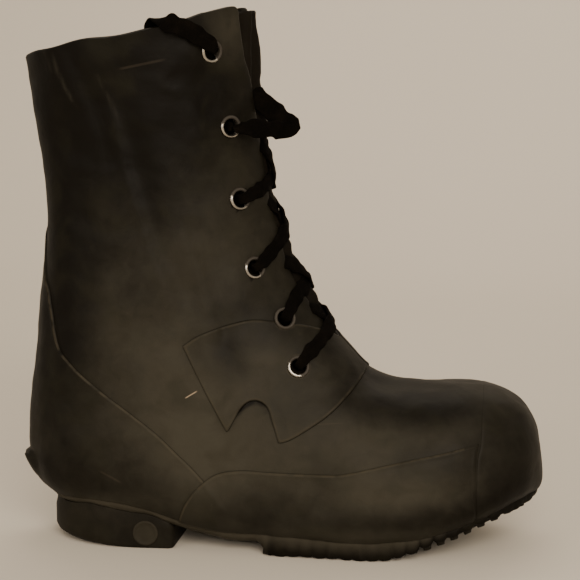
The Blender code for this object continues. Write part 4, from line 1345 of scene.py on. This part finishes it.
toeLook = {
    "rows": (0.0, 6.2), "rowStep": 0.06, "turns": (-180, 180), "turnStep": 1.5,
    "strokes": (
        ((287.7, 58),),
        ((288.4, 66), (290.0, 74), (290.8, 90), (291.6, 104), (292.5, 115)),
        ((310, 200),),
        ((450, 200),),
        ((450, -60),),
        ((287.7, -60),),
    ),
    "thick": 0.75, "round": 2.4, "bead": (1.4, 0.8, 0.0), "finish": "panel", "quiet": 0.0,
    "thinUp": (80.0, 104.0, 0.85),
}
counterLook = {
    "rows": (10.6, 25.2), "rowStep": 0.07, "turns": (48, 312), "turnStep": 1.6,
    "strokes": (
        ((16.5, 200),),
        (
            (18.5, 174), (23, 158), (29, 130), (39, 117), (55, 103.5), (73, 90.5), (92, 76), (107, 62),
            (120.5, 48.5), (129, 38.5),
        ),
        ((124, 24), (112, 10)),
        ((108, -60),),
        ((-90, -60),),
        ((-90, 203),),
    ),
    "thick": 1.1, "round": 1.8, "bead": (1.6, 1.0, 0.25), "finish": "panel",
    "extras": (strapLedge, underSidewall),
}
patchLook = {
    "rows": (7.4, 17.8), "rowStep": 0.06, "turnStep": 1.1,
    "turns": {"lateral": (-125, 0.45), "medial": (0.5, 125)},
    "strokes": (
        (
            (119, 137), (138, 143.5), (152, 145.5), (170, 143), (184, 140), (199, 133.5), (212, 122.5),
            (222, 113),
        ),
        ((218, 109), (214, 104.5), (208, 98), (199, 89.5), (187, 81), (175, 74), (168, 72)),
        ((164, 84), (160.5, 93), (153, 97), (145.5, 93), (136, 77)),
        ((123, 100), (108, 130)),
    ),
    "thick": 1.2, "round": 1.2, "bead": (1.5, 0.9, 0.08), "finish": "patch",
    "atThroat": True, "overlap": 99.0,
    "extras": (liftNotch,),
}
for sideName in sideNames.values():
    sidewall = {**sidewallLook, "turns": sidewallLook["turns"][sideName]}
    makePanel(f"sidewall_skin_{sideName}", sidewall, f"sidewall_{sideName}")
    patch = {**patchLook, "turns": patchLook["turns"][sideName]}
    makePanel(f"eyelet_patch_skin_{sideName}", patch, f"eyelet_patch_{sideName}")
makePanel("toe_cap_skin", toeLook, "toe_cap")
makePanel("heel_counter_skin", counterLook, "heel_counter")


# the sole: a plate with a lumpy rim, ribs across the forefoot and a heel block
soleForm = {
    "plain": {"dustShade": 0.45, "edge": farEdge},
    "rows": (0.15, 19.6, 0.055),  # first, end, step
    "turns": (92.0, 268.5, 1.4),
    "levels": (0.15, 0.5, 1.0, 1.8, 2.9, 4.2, 5.0, 6.0),
    "plate": (3.6, 1.1, (104.0, 140.0)),  # thickness, how much thinner at the heel, where it changes
    "rimWidth": 4.6,
    "rimFrom": (152.0, 162.0),
    "ball": (225.0, 262.0),  # the rim is plainer behind this
    "toeLift": (6.5, (232.0, 278.0), 0.45, (288.0, 318.0)),  # height, where, share lost at the tip, where
    "lumps": 2.8,
    "lumpsAround": (10.5, (296.0, 316.0)),  # spacing round the toe, where it takes over
    "notch": (2.6, 5.0, (305.0, 318.0)),  # depth, half width, where
    "puff": (0.7, 0.6, 1.2),  # how far out, place in from the edge, width
    "waves": (0.9, 2.2),
    "floor": 0.35,
    "above": 0.9,
    "tuck": 0.4,
    "facesDown": -0.12,
    "edge": (1.8, 0.3, 0.8),  # width of the rounded edge, its height at the heel, how much more ahead
    "centre": (160.0, 0.0, 0.0),
    # dust on the sole, and painted shade: ground makes the tread darker toward the floor
    "dustAndShade": {
        "heel": 0.72, "toe": 0.20, "where": (235, 290), "lumps": 0.30, "rim": 0.24, "side": -0.34,
        "ground": (0.24, 1.8), "inside": (5.5, 0.3), "least": 0.04,
    },
    "ribs": {
        "start": 160.0, "pitch": 8.2, "width": 4.5, "count": 20, "inset": 2.6,
        "toeInset": (9.5, (222.0, 248.0)),
        "drop": 3.4,
        "toeDrop": (1.4, (240.0, 280.0)),
        "lowest": 0.55,
        "sunk": 0.5,
        "reach": 3.0,
    },
    "heelRibs": {
        "start": 50.0, "pitch": 7.6, "width": 3.4, "count": 6, "half": 31.0,
        "round": (82.5, 40.0, 8.0),  # middle of the heel's back, its radius, the margin
        "middle": 1.6,
        "tall": 2.9,
    },
}
heelForm = {
    "back": 18.5,
    "breast": 100.5,
    "half": 39.0,
    "skew": 4.0,
    "round": 40.0,
    "corner": 3.0,
    "skewFrom": 70.0,
    "centre": (62.0, 0.0),
    "roll": 24.0,
    "rollHeight": 8.0,
    "flare": 0.02,
    "levels": (0.0, 0.25, 0.8, 1.8, 3.2, 5.2, 8.0, 13.0),
    "edge": (1.4, 1.8),  # width and height of the rounded lower edge
    "top": 30.0,
    "recess": (6.0, 2.6),
    "sides": 150,
    "dustShade": 0.36,
    "mark": ((83.0, 10.0), 8.0, 0.9),  # x and z, radius, how far it stands out
}


def soleGround(x):
    # the tread's lowest line: the floor under the ball, and up with the toe spring
    rows = np.array(bootForm["sections"])[:18]
    low = np.interp(x, rows[::-1, 0], rows[::-1, 1])
    return np.maximum(0.0, low - solePlan["body"] - solePlan["gap"] - solePlan["tread"])


def toeLift(x):
    # the rim's lower edge rises sooner than the ribs
    height, rise, share, fall = soleForm["toeLift"]
    return height * smooth(x, *rise) * (1 - share * smooth(x, *fall))


def makeSolePlate():
    def depthAt(row, turn):
        base = formPoint(row, turn)
        depth = insideDistance(base[..., 0], base[..., 1], soleRing)
        return np.where(formNormal(row, turn)[..., 2] < soleForm["facesDown"], depth, -3.0)

    rows, turns = np.arange(*soleForm["rows"]), np.arange(*soleForm["turns"])
    spots, rim, faces = cutGrid(rows, turns, depthAt, soleForm["levels"])
    row, turn, depth = spots.T
    base = formPoint(row, turn)
    x, y = base[:, 0], base[:, 1]
    share = smooth(x, *soleForm["rimFrom"])
    ahead = smooth(x, *soleForm["ball"])
    ribs = soleForm["ribs"]
    wave = 1 - np.abs(np.cos(math.pi * (x - ribs["start"]) / ribs["pitch"])) ** 0.6
    spacing, toe = soleForm["lumpsAround"]
    onSides = 1 - smooth(x, *toe)
    around = 1 - np.abs(np.sin(math.pi * y / spacing)) ** 0.6
    lumps = soleForm["lumps"] * (wave * onSides + around * (1 - onSides)) * (0.45 + 0.5 * ahead)
    band = 1 - smooth(depth, soleForm["rimWidth"] - 0.8, soleForm["rimWidth"] + 0.8)
    out = surface(row, turn, 0.0)
    toGround = out[:, 2] - soleGround(x) - 0.15 - toeLift(x)
    full, thinner, change = soleForm["plate"]
    plate = full - thinner * (1 - smooth(x, *change))
    tall = plate + share * band * (np.maximum(toGround, plate) - plate - lumps)
    notchDepth, notchHalf, notchFrom = soleForm["notch"]
    tall -= notchDepth * (hump(y, notchHalf) * smooth(x, *notchFrom)) * band
    size, finer = soleForm["waves"]
    width, least, more = soleForm["edge"]
    tall = tall - (least + more * share) * (1 - edgeRise(depth, width)) + size * rubberWaves(base * finer)
    down = np.minimum(tall, out[:, 2] - soleForm["floor"])
    top = out.copy()
    top[:, 2] = np.where(rim, out[:, 2] + soleForm["tuck"], out[:, 2] - down)
    outward = unit(base - soleForm["centre"]) * (1.0, 1.0, 0.0)
    size, inward, width = soleForm["puff"]
    puff = size * share * band * (0.35 + 0.65 * ahead) * hump(depth - inward, width) * (1 - wave)
    top += outward * puff[:, None]
    bottom = out.copy()
    bottom[:, 2] += soleForm["above"]
    points, faces = closeSkin(top, bottom, rim, faces)
    look = soleForm["dustAndShade"]
    dustAndShade = look["heel"] + (look["toe"] - look["heel"]) * smooth(x, *look["where"])
    dustAndShade -= look["lumps"] * share * (lumps / soleForm["lumps"])
    # the tread is painted darker toward the floor, as shade where it meets it
    less, reach = look["ground"]
    dustAndShade -= less * share * hump(np.clip(toGround - tall, 0.0, None), reach)
    dustAndShade += np.where(rim, look["rim"], look["side"]) * share
    reach, inside = look["inside"]
    dustAndShade = np.clip(np.where(depth < reach, dustAndShade, inside), look["least"], 1.0)
    values = evenDustShade(2 * len(base), np.tile(dustAndShade, 2))
    piece = meshPiece("outsole_plate", points, faces, [finishes["sole"]], values)
    print("sole plate", len(piece.data.polygons))
    return piece


def underside(piece, places):
    # the height of a piece's lowest surface over places on the floor, in the boot's millimetres
    tree = BVHTree.FromObject(piece, bpy.context.evaluated_depsgraph_get())
    heights = []
    for x, y in places:
        start = toFrame((x, y, -20.0))
        hit = tree.ray_cast(start.tolist(), (0.0, 0.0, 1.0))
        heights.append(hit[0][2] / millimetre if hit[0] is not None else np.nan)
    return np.array(heights)


def pointTree(name, inputs, nodes, wires):
    # a node tree for points: inputs by kind, nodes with settings and sockets, wires from output to input
    tree = bpy.data.node_groups.new(name, "GeometryNodeTree")
    for key, kind in {"Geometry": "Geometry", **inputs}.items():
        tree.interface.new_socket(name=key, in_out="INPUT", socket_type="NodeSocket" + kind)
    tree.interface.new_socket(name="Geometry", in_out="OUTPUT", socket_type="NodeSocketGeometry")
    made = {"start": tree.nodes.new("NodeGroupInput"), "end": tree.nodes.new("NodeGroupOutput")}
    for key, (kind, settings, sockets) in nodes.items():
        made[key] = tree.nodes.new(kind)
        for setting, value in settings.items():
            setattr(made[key], setting, value)
        for socket, value in sockets.items():
            made[key].inputs[socket].default_value = value
    for source, output, target, socket in wires:
        tree.links.new(made[source].outputs[output], made[target].inputs[socket])
    return tree


def vectorNode(name):
    return ("GeometryNodeInputNamedAttribute", {"data_type": "FLOAT_VECTOR"}, {"Name": name})


def barTree():
    # bars on points: each point carries the bar's size and lean
    nodes = {
        "cube": ("GeometryNodeMeshCube", {}, {"Vertices X": 4, "Vertices Y": 26, "Vertices Z": 4}),
        "soft": ("GeometryNodeSubdivisionSurface", {}, {"Level": 1}),
        "spots": ("GeometryNodeInstanceOnPoints", {}, {}),
        "size": vectorNode("size"),
        "lean": vectorNode("lean"),
        "real": ("GeometryNodeRealizeInstances", {}, {}),
        "noise": ("ShaderNodeTexNoise", {}, {"Detail": 2.0}),
        "centred": ("ShaderNodeVectorMath", {"operation": "SUBTRACT"}, {1: (0.5, 0.5, 0.5)}),
        "scaled": ("ShaderNodeVectorMath", {"operation": "SCALE"}, {}),
        "shift": ("GeometryNodeSetPosition", {}, {}),
        "smooth": ("GeometryNodeSetShadeSmooth", {}, {}),
        "finish": ("GeometryNodeSetMaterial", {}, {}),
    }
    wires = (
        ("cube", "Mesh", "soft", "Mesh"),
        ("start", "Geometry", "spots", "Points"),
        ("soft", "Mesh", "spots", "Instance"),
        ("size", "Attribute", "spots", "Scale"),
        ("lean", "Attribute", "spots", "Rotation"),
        ("spots", "Instances", "real", "Geometry"),
        ("real", "Geometry", "shift", "Geometry"),
        ("start", "Lump size", "noise", "Scale"),
        ("noise", "Color", "centred", 0),
        ("centred", "Vector", "scaled", 0),
        ("start", "Lumps", "scaled", "Scale"),
        ("scaled", "Vector", "shift", "Offset"),
        ("shift", "Geometry", "smooth", "Geometry"),
        ("smooth", "Geometry", "finish", "Geometry"),
        ("start", "Material", "finish", "Material"),
        ("finish", "Geometry", "end", "Geometry"),
    )
    inputs = {"Lumps": "Float", "Lump size": "Float", "Material": "Material"}
    return pointTree("barsOnPoints", inputs, nodes, wires)


def growOnPoints(name, tree, points, vectors, settings):
    # a plain mesh grown by a node tree from points that carry vectors
    mesh = bpy.data.meshes.new(name)
    mesh.from_pydata(toFrame(points).tolist(), [], [])
    for key, values in vectors.items():
        attribute = mesh.attributes.new(key, "FLOAT_VECTOR", "POINT")
        attribute.data.foreach_set("vector", np.asarray(values, dtype=np.float32).ravel())
    seedPiece = addObject(name + "Points", mesh)
    grow = seedPiece.modifiers.new("grow", "NODES")
    grow.node_group = tree
    for item in tree.interface.items_tree:
        if item.item_type == "SOCKET" and item.in_out == "INPUT" and item.name in settings:
            grow[item.identifier] = settings[item.name]
    shape = bpy.context.evaluated_depsgraph_get()
    grown = bpy.data.meshes.new_from_object(seedPiece.evaluated_get(shape))
    bpy.data.objects.remove(seedPiece)
    return addObject(name, grown)


def growBars(name, tree, points, sizes, leans, lumps, lumpSize):
    settings = {"Lumps": lumps * millimetre, "Lump size": lumpSize, "Material": finishes["sole"]}
    vectors = {"size": np.array(sizes) * millimetre, "lean": leans}
    return growOnPoints(name, tree, np.array(points), vectors, settings)


def joinPieces(target, *others):
    # further meshes joined into one piece
    work = bmesh.new()
    work.from_mesh(target.data)
    for other in others:
        extra = bmesh.new()
        extra.from_mesh(other.data)
        copied = [work.verts.new(vert.co) for vert in extra.verts]
        for key in ("dustShade", "edge"):
            there = work.verts.layers.float.get(key)
            here = extra.verts.layers.float.get(key)
            if there is not None:
                for vert, copy in zip(extra.verts, copied):
                    copy[there] = vert[here] if here is not None else soleForm["plain"][key]
        extra.verts.index_update()
        for face in extra.faces:
            made = work.faces.new([copied[vert.index] for vert in face.verts])
            made.smooth = True
        extra.free()
        bpy.data.objects.remove(other)
    work.to_mesh(target.data)
    work.free()
    return target


def soleHalf(x, side):
    column = 1 if side < 0 else 2
    rows = np.array(solePlan["rows"])
    return np.interp(x, rows[:, 0], rows[:, column])


def makeTreadRibs(tree, plate):
    ribs = soleForm["ribs"]
    points, sizes, leans = [], [], []
    for index in range(ribs["count"]):
        x = ribs["start"] + ribs["pitch"] * index
        more, where = ribs["toeInset"]
        inset = ribs["inset"] + more * float(smooth(x, *where))
        low, high = -soleHalf(x, -1) + inset, soleHalf(x, 1) - inset
        reach = ribs["reach"]
        sample = [(x + shift, y) for shift in (-reach, reach) for y in (low * 0.6, 0.0, high * 0.6)]
        heights = underside(plate, sample).reshape(2, 3)
        if np.isnan(heights).any():
            continue
        ceiling = heights.mean() + ribs["sunk"]
        less, where = ribs["toeDrop"]
        ground = ceiling - ribs["sunk"] - ribs["drop"] + less * float(smooth(x, *where))
        ground = max(ribs["lowest"], ground)
        points.append((x, (low + high) / 2, (ceiling + ground) / 2))
        sizes.append((ribs["width"] * 1.12, (high - low) * 1.01, (ceiling - ground) * 1.14))
        leans.append((0.0, -math.atan2(heights[1].mean() - heights[0].mean(), 2 * reach), 0.0))
    return growBars("treadRibs", tree, points, sizes, leans, 0.7, 210.0)


def heelOutline(height, inset=0.0):
    lift = 1 - min(1.0, height / heelForm["rollHeight"])
    back = heelForm["back"] + heelForm["roll"] * (1 - math.sqrt(1 - lift * lift)) + inset
    half = heelForm["half"] + heelForm["flare"] * height - inset
    breast = heelForm["breast"] - inset
    centre = back + heelForm["round"]
    corner = heelForm["corner"]
    line = []
    for side in (-1, 1):
        for angle in np.radians(np.linspace(45 * side - 45, 45 * side + 45, 6)):
            across = side * (half - corner) + corner * math.sin(angle)
            line.append((breast - corner + corner * math.cos(angle), across))
    for angle in np.radians(np.linspace(90, 270, 61)):
        line.append((centre + (heelForm["round"] - inset) * math.cos(angle), half * math.sin(angle)))
    ring = np.array([*line, line[0]])
    forward = smooth(ring[:, 0], heelForm["skewFrom"], breast)
    ring[:, 0] += forward * heelForm["skew"] * (ring[:, 1] + half) / (2 * half)
    return ring


def heelRing(height, inset=0.0):
    # the heel's outline with its points evenly apart
    ring = heelOutline(height, inset)
    length = lengthAlong(ring)
    return pointsAlong(ring, length, np.linspace(0.0, length[-1], heelForm["sides"] + 1)[:-1])


def makeHeelBlock(tree, plate):
    margin, deep = heelForm["recess"]
    count, top = heelForm["sides"], heelForm["top"]
    edgeWidth, edgeHeight = heelForm["edge"]
    levels = []  # outline and height of each ring, from the recess out, up and in under the plate
    for more, height in ((1.2, deep), (0.5, deep - 0.5), (0.0, 0.4), (-0.6, 0.0)):
        levels.append((heelRing(0.0, margin + more), height))
    for height in heelForm["levels"]:
        share = 1 - min(1.0, height / edgeHeight)
        inset = edgeWidth * (1 - math.sqrt(max(0.0, 1 - share**2)))
        levels.append((heelRing(height, inset), height))
    ceiling = underside(plate, heelRing(top, 1.5))
    ceiling = np.where(np.isnan(ceiling), np.nanmean(ceiling), ceiling)
    inner = heelRing(top, 2.0)
    innerCeiling = underside(plate, inner)
    innerCeiling = np.where(np.isnan(innerCeiling), ceiling, innerCeiling) + 0.6
    levels.append((heelRing(top), ceiling * 0.5 + 6.0))
    levels.append((heelRing(top, 0.8), ceiling - 0.1))
    levels.append((inner, innerCeiling))
    rings = [np.column_stack([outline, np.full(count, height)]) for outline, height in levels]
    centre = heelForm["centre"]
    points = np.vstack([*rings, [*centre, deep], [*centre, innerCeiling.mean()]])
    faces = ringFaces(len(rings), count)
    faces += fanFaces(len(points) - 2, count)
    faces += fanFaces(len(points) - 1, count, (len(rings) - 1) * count)
    values = evenDustShade(len(points), heelForm["dustShade"])
    block = meshPiece("heel_block_body", points, faces, [finishes["sole"]], values)
    block.data.set_sharp_from_angle(angle=math.radians(48))
    # the plain round mark on the outer side
    (x, z), radius, proud = heelForm["mark"]
    disc = makeDisc((x, -heelForm["half"] - heelForm["flare"] * z, z), radius, proud)
    return joinPieces(block, disc, makeHeelRibs(tree))


def makeHeelRibs(tree):
    bars = soleForm["heelRibs"]
    middle, radius, margin = bars["round"]
    spots, sizes = [], []
    for index in range(bars["count"]):
        x = bars["start"] + bars["pitch"] * index
        behind = (middle - min(x, middle)) / radius
        half = min(bars["half"], radius * math.sqrt(max(0.05, 1 - behind**2)) - margin)
        spots.append((x, 0.0, bars["middle"]))
        sizes.append((bars["width"], 2 * half, bars["tall"]))
    return growBars("heelRibs", tree, spots, sizes, np.zeros((len(spots), 3)), 0.25, 150.0)


def makeDisc(centre, radius, proud, count=48):
    # a plain low disc with a soft rim, facing the outer side
    profile = ((1.0, -1.0), (1.0, 0.45), (0.96, 0.85), (0.9, 1.0), (0.83, 0.95), (0.78, 0.6), (0.5, 0.55))
    points = []
    for share, rise in profile:
        for angle in circleAngles(count):
            side = (radius * share * math.cos(angle), -proud * rise, radius * share * math.sin(angle))
            points.append(np.array(centre) + side)
    points.append(np.array(centre) + (0.0, -proud * profile[-1][1], 0.0))
    points.append(np.array(centre) + (0.0, proud, 0.0))
    faces = ringFaces(len(profile), count)
    faces += fanFaces(len(points) - 2, count, (len(profile) - 1) * count)
    faces += fanFaces(len(points) - 1, count)
    return meshPiece("mark", points, faces, [finishes["sole"]], evenDustShade(len(points), 0.60))


solePlate = makeSolePlate()
barNodes = barTree()
treadRibs = makeTreadRibs(barNodes, solePlate)
heelBlock = makeHeelBlock(barNodes, solePlate)
joinPieces(solePlate, treadRibs)
place(solePlate, "sole_rubber", "outsole")
place(heelBlock, "sole_rubber", "heel_block")
print("sole and heel made")


# eyelets: pressed steel rings with their barrels
eyeletForm = {
    "profile": (  # radius and height over the rubber, from inside the boot round to the inside again
        (6.5, -4.5), (6.7, -5.0), (6.1, -5.4), (5.3, -5.1), (4.95, -4.2), (4.9, 0.2), (5.0, 0.8), (5.25, 1.2),
        (5.7, 1.45), (6.2, 1.4), (6.65, 1.05), (6.95, 0.5), (6.9, 0.0), (6.5, -0.3), (5.6, -0.4), (5.5, -4.2),
    ),
    "patchLift": 1.1,
    "lift": 0.15,
    "lean": 0.035,
    "sides": 40,
    # the way toward which each ring is painted lit, and how much of that painted light some eyelets keep, the
    # rest painted as shade
    "litWay": (-0.65, 0.0, -0.75),
    "litShare": {"eyelet_lateral_2": 0.35, "eyelet_lateral_1": 0.75},
}


def makeEyelets():
    sides, profile = eyeletForm["sides"], eyeletForm["profile"]
    shape = []
    for radius, height in profile:
        for angle in circleAngles(sides):
            shape.append((radius * math.cos(angle), radius * math.sin(angle), height))
    faces = ringFaces(len(profile), sides, closed=True)
    ring = meshPiece("eyeletShape", np.array(shape) + bootForm["middle"], faces, [finishes["steel"]])
    nodes = {
        "info": ("GeometryNodeObjectInfo", {}, {}),
        "spots": ("GeometryNodeInstanceOnPoints", {}, {}),
        "lean": vectorNode("lean"),
        "real": ("GeometryNodeRealizeInstances", {}, {}),
        "finish": ("GeometryNodeSetMaterial", {}, {}),
    }
    wires = (
        ("start", "Geometry", "spots", "Points"),
        ("start", "Ring", "info", "Object"),
        ("info", "Geometry", "spots", "Instance"),
        ("lean", "Attribute", "spots", "Rotation"),
        ("spots", "Instances", "real", "Geometry"),
        ("real", "Geometry", "finish", "Geometry"),
        ("start", "Material", "finish", "Material"),
        ("finish", "Geometry", "end", "Geometry"),
    )
    tree = pointTree("eyeletsOnPoints", {"Ring": "Object", "Material": "Material"}, nodes, wires)
    settings = {"Ring": ring, "Material": finishes["steel"]}
    for seat in eyeletSeats:
        lift = eyeletForm["patchLift"] if seat["number"] < 3 else 0.0
        dice = np.random.default_rng(seat["number"] + (10 if seat["side"] > 0 else 0))
        out = unit(seat["out"] + dice.normal(size=3) * eyeletForm["lean"])
        turn = Vector(out).to_track_quat("Z", "Y").to_euler()
        spot = surface(seat["row"], seat["turn"], lift + eyeletForm["lift"])
        name = f"eyelet_{sideNames[seat['side']]}_{seat['number']}"
        piece = growOnPoints(name + "_ring", tree, np.array([spot]), {"lean": [tuple(turn)]}, settings)
        piece.data.shade_smooth()
        # painted light on each ring: bright toward one way, painted shade away from it
        around = unit(np.array([v.co for v in piece.data.vertices]) - toFrame(spot))
        bright = smooth(around @ unit(np.array(eyeletForm["litWay"])), -0.25, 0.65)
        bright = (0.15 + 0.85 * bright) * eyeletForm["litShare"].get(name, 1.0)
        piece.data.attributes.new("paintedLight", "FLOAT", "POINT").data.foreach_set("value", bright)
        place(piece, "eyelet_steel", name)
    bpy.data.objects.remove(ring)


makeEyelets()
print("eyelets made")


# the gusset behind the throat, and the felt insole
gussetForm = {
    "rows": (9.9, 28.65, 130),
    "reach": 58.0,
    "columns": 64,
    "depth": -7.2,
    "thick": 1.8,
    "tongueBulge": (8.8, 7.5, 11.2, 12.6),  # height, half width, rows where it grows
    "tongueWave": (0.8, 4.1, 16.0),  # height, how close over the rows, half width
    "bulge": (7.6, 13.0, 22.5, 26.0),  # height, half width, rows where it grows
    "creases": ((-11.0, 2.6, 1.1), (-4.5, 3.0, -2.4), (4.0, 3.5, 1.2), (12.0, 4.0, -1.2)),  # y, width, height
    "creaseRows": (20.0, 25.0),
    "creaseLean": (26.0, 0.8),  # row where a crease has its own y, change with each row
    "waves": (1.2, 1.7),
    "darkTone": (0.95, -4.0, -2.4),  # share of the dust and painted light taken off toward the middle, as painted shade, y where it goes
    "paler": (0.3, -4.6, 0.9, 270.0, 285.0),  # dust on the fold: how much, y, half width, z where it starts
    "softEdge": 0.0006,
}


def gussetPoints(rows, turns, extra):
    base = formPoint(rows, turns)
    y = base[..., 1]
    height, half, low, high = gussetForm["bulge"]
    share = smooth(rows, low, high)
    lift = gussetForm["depth"] + height * hump(y, half) * share
    start, change = gussetForm["creaseLean"]
    for middle, width, rise in gussetForm["creases"]:
        reach = y - (middle + (rows - start) * change)
        lift += rise * hump(reach, width) * smooth(rows, *gussetForm["creaseRows"])
    height, half, low, high = gussetForm["tongueBulge"]
    lift += height * hump(y, half) * smooth(rows, low, high) * (1 - share)
    height, close, half = gussetForm["tongueWave"]
    lift += height * np.sin(rows * close + y * 0.05) * hump(y, half) * (1 - share)
    height, finer = gussetForm["waves"]
    lift += height * rubberWaves(base * finer)
    return surface(rows, turns, lift + extra)


def makeGusset():
    low, high, count = gussetForm["rows"]
    rows = np.linspace(low, high, count)
    turns = np.linspace(-gussetForm["reach"], gussetForm["reach"], gussetForm["columns"])
    rowGrid, turnGrid = np.meshgrid(rows, turns, indexing="ij")
    front = gussetPoints(rowGrid, turnGrid, 0.0)
    back = gussetPoints(rowGrid, turnGrid, -gussetForm["thick"])
    loops = np.concatenate([front, back[:, ::-1]], axis=1)
    size = loops.shape[1]
    points = loops.reshape(-1, 3)
    faces = ringFaces(count, size)
    for first in (0, (count - 1) * size):
        last = first + size - 1
        faces += [(first + j, first + j + 1, last - 1 - j, last - j) for j in range(size // 2 - 1)]
    # the middle is painted darker as shade, and the fold gets a painted highlight line
    share, low, high = gussetForm["darkTone"]
    dustShade = dustShadeAt(points) * (1 - share * smooth(points[:, 1], low, high))
    more, middle, half, low, high = gussetForm["paler"]
    dustShade += more * hump(points[:, 1] - middle, half) * smooth(points[:, 2], low, high)
    values = evenDustShade(len(points), np.clip(dustShade, 0.0, 1.0))
    gusset = meshPiece("gusset_sheet", points, faces, [finishes["gusset"]], values)
    work = bmesh.new()
    work.from_mesh(gusset.data)
    topEdges = [edge for edge in work.edges if edge.calc_face_angle(0.0) > 1.2]
    bmesh.ops.bevel(work, geom=topEdges, offset=gussetForm["softEdge"], segments=2, affect="EDGES")
    work.to_mesh(gusset.data)
    work.free()
    gusset.data.shade_smooth()
    place(gusset, "black_rubber", "tongue")


insoleForm = {
    "plan": (  # x, z of the underside, reach to the lateral side, reach to the medial side
        (36, 30.3, 11, 11), (38.5, 29.5, 16.5, 16.5), (42, 28.5, 21, 21), (52, 26.3, 24.5, 24.5),
        (70, 23.2, 27.5, 26.7), (95, 18.6, 29, 27), (120, 14.1, 31.5, 27.7), (150, 10.9, 36.3, 30.2),
        (180, 10.3, 41.3, 34.2), (205, 10.3, 44.8, 39), (230, 10.9, 45.5, 42), (250, 12.9, 43.8, 42),
        (270, 18.5, 37.5, 39), (285, 25.4, 31.5, 36), (296, 30, 25.5, 31.5), (304, 33.5, 19, 26.5),
        (309, 36, 12.5, 21),
    ),
    # height, share of the width
    "levels": ((0.0, 0.55), (3.5, 0.88), (6.6, 0.985), (7.6, 0.97), (8.0, 0.93)),
    "columns": 36,
    "step": 2.6,
    "hollow": 0.6,
    "nap": 0.175,
}


def makeInsole():
    plan = evenLine(smoothLine(insoleForm["plan"], 8), insoleForm["step"])
    thick = insoleForm["levels"][-1][0]
    rings = []
    for x, z, lateral, medial in plan:
        left = [(x, -lateral * share, z + rise) for rise, share in insoleForm["levels"]]
        right = [(x, medial * share, z + rise) for rise, share in reversed(insoleForm["levels"])]
        y = np.linspace(left[-1][1], right[0][1], insoleForm["columns"])[1:-1]
        dips = insoleForm["hollow"] * ((2 * (y - y[0]) / (y[-1] - y[0]) - 1) ** 2 - 1)
        top = [(x, spot, z + thick + dip) for spot, dip in zip(y, dips)]
        rings.append([*left, *top, *right])
    points = np.array(rings)
    count, size = points.shape[:2]
    side = len(insoleForm["levels"]) - 1  # points up each side, below the top
    dice = np.random.default_rng(7)
    points[:, side:-side, 2] += dice.normal(size=(count, size - 2 * side)) * insoleForm["nap"]
    points = points.reshape(-1, 3)
    faces = ringFaces(count, size)
    faces += [tuple(range(first, first + size)) for first in (0, (count - 1) * size)]
    insole = meshPiece("insole_felt", points, faces, [finishes["felt"]])
    place(insole, "grey_felt", "insole")


makeGusset()
makeInsole()
print("gusset and insole made")


# floor and light
stageForm = {
    "floor": (1.7, 1.0),  # half width, distance behind the boot
    "front": 1.6,
    "bend": 0.9,
    "wall": 2.6,
    "colour": (0.655, 0.600, 0.520),
}


def makeStage():
    finish = Finish("paperFloor")
    broad = finish.noise(420, 2.0)
    fibre = finish.noise(2.5, 3.0, 0.6)
    red, green, blue = stageForm["colour"]
    first = shade(red * 0.975, green * 0.972, blue * 0.965)
    colour = finish.mix(broad, first, shade(red * 1.02, green * 1.02, blue * 1.02))
    bumps = finish.bump(fibre, 0.04, 0.4)
    finish.set(Base_Color=colour, Roughness=0.92, Normal=bumps, Specular_IOR_Level=0.2)
    half, behind = stageForm["floor"]
    bend = stageForm["bend"]
    profile = [(-stageForm["front"], 0.0), (behind, 0.0)]
    for angle in np.radians(np.arange(5, 91, 5)):
        profile.append((behind + bend * math.sin(angle), bend * (1 - math.cos(angle))))
    profile.append((behind + bend, stageForm["wall"]))
    points = [(x, y, z) for y, z in profile for x in (-half, half)]
    faces = [(here, here + 1, here + 3, here + 2) for here in range(0, len(points) - 2, 2)]
    mesh = bpy.data.meshes.new("floor")
    mesh.from_pydata(points, [], faces)
    mesh.materials.append(finish.material)
    mesh.shade_smooth()
    addObject("floor", mesh)


lightForm = (  # name, place, aim, size, power, colour
    ("keyLight", (0.45, -1.7, 0.95), (0.0, 0.0, 0.12), (1.2, 1.0), 36.0, (1.0, 0.90, 0.77)),
    ("fillLight", (-1.2, -1.3, 0.6), (0.0, 0.0, 0.14), (1.0, 1.0), 8.0, (1.0, 0.90, 0.77)),
    ("topLight", (0.35, 1.2, 1.6), (0.25, 1.4, 0.3), (2.2, 0.8), 16.0, (1.0, 0.91, 0.80)),
)
roomLight = {"colour": (1.0, 0.87, 0.70), "strength": 0.5}


def makeLights():
    for name, spot, aim, size, power, colour in lightForm:
        data = bpy.data.lights.new(name, "AREA")
        data.shape = "RECTANGLE"
        data.size, data.size_y = size
        data.energy = power
        data.color = colour
        light = addObject(name, data)
        light.location = spot
        light.rotation_euler = (Vector(spot) - Vector(aim)).to_track_quat("Z", "Y").to_euler()
    world = bpy.data.worlds.new("softRoom")
    world.use_nodes = True
    back = world.node_tree.nodes["Background"]
    back.inputs["Color"].default_value = shade(*roomLight["colour"])
    back.inputs["Strength"].default_value = roomLight["strength"]
    bpy.context.scene.world = world


makeStage()
makeLights()
print("floor and light made")
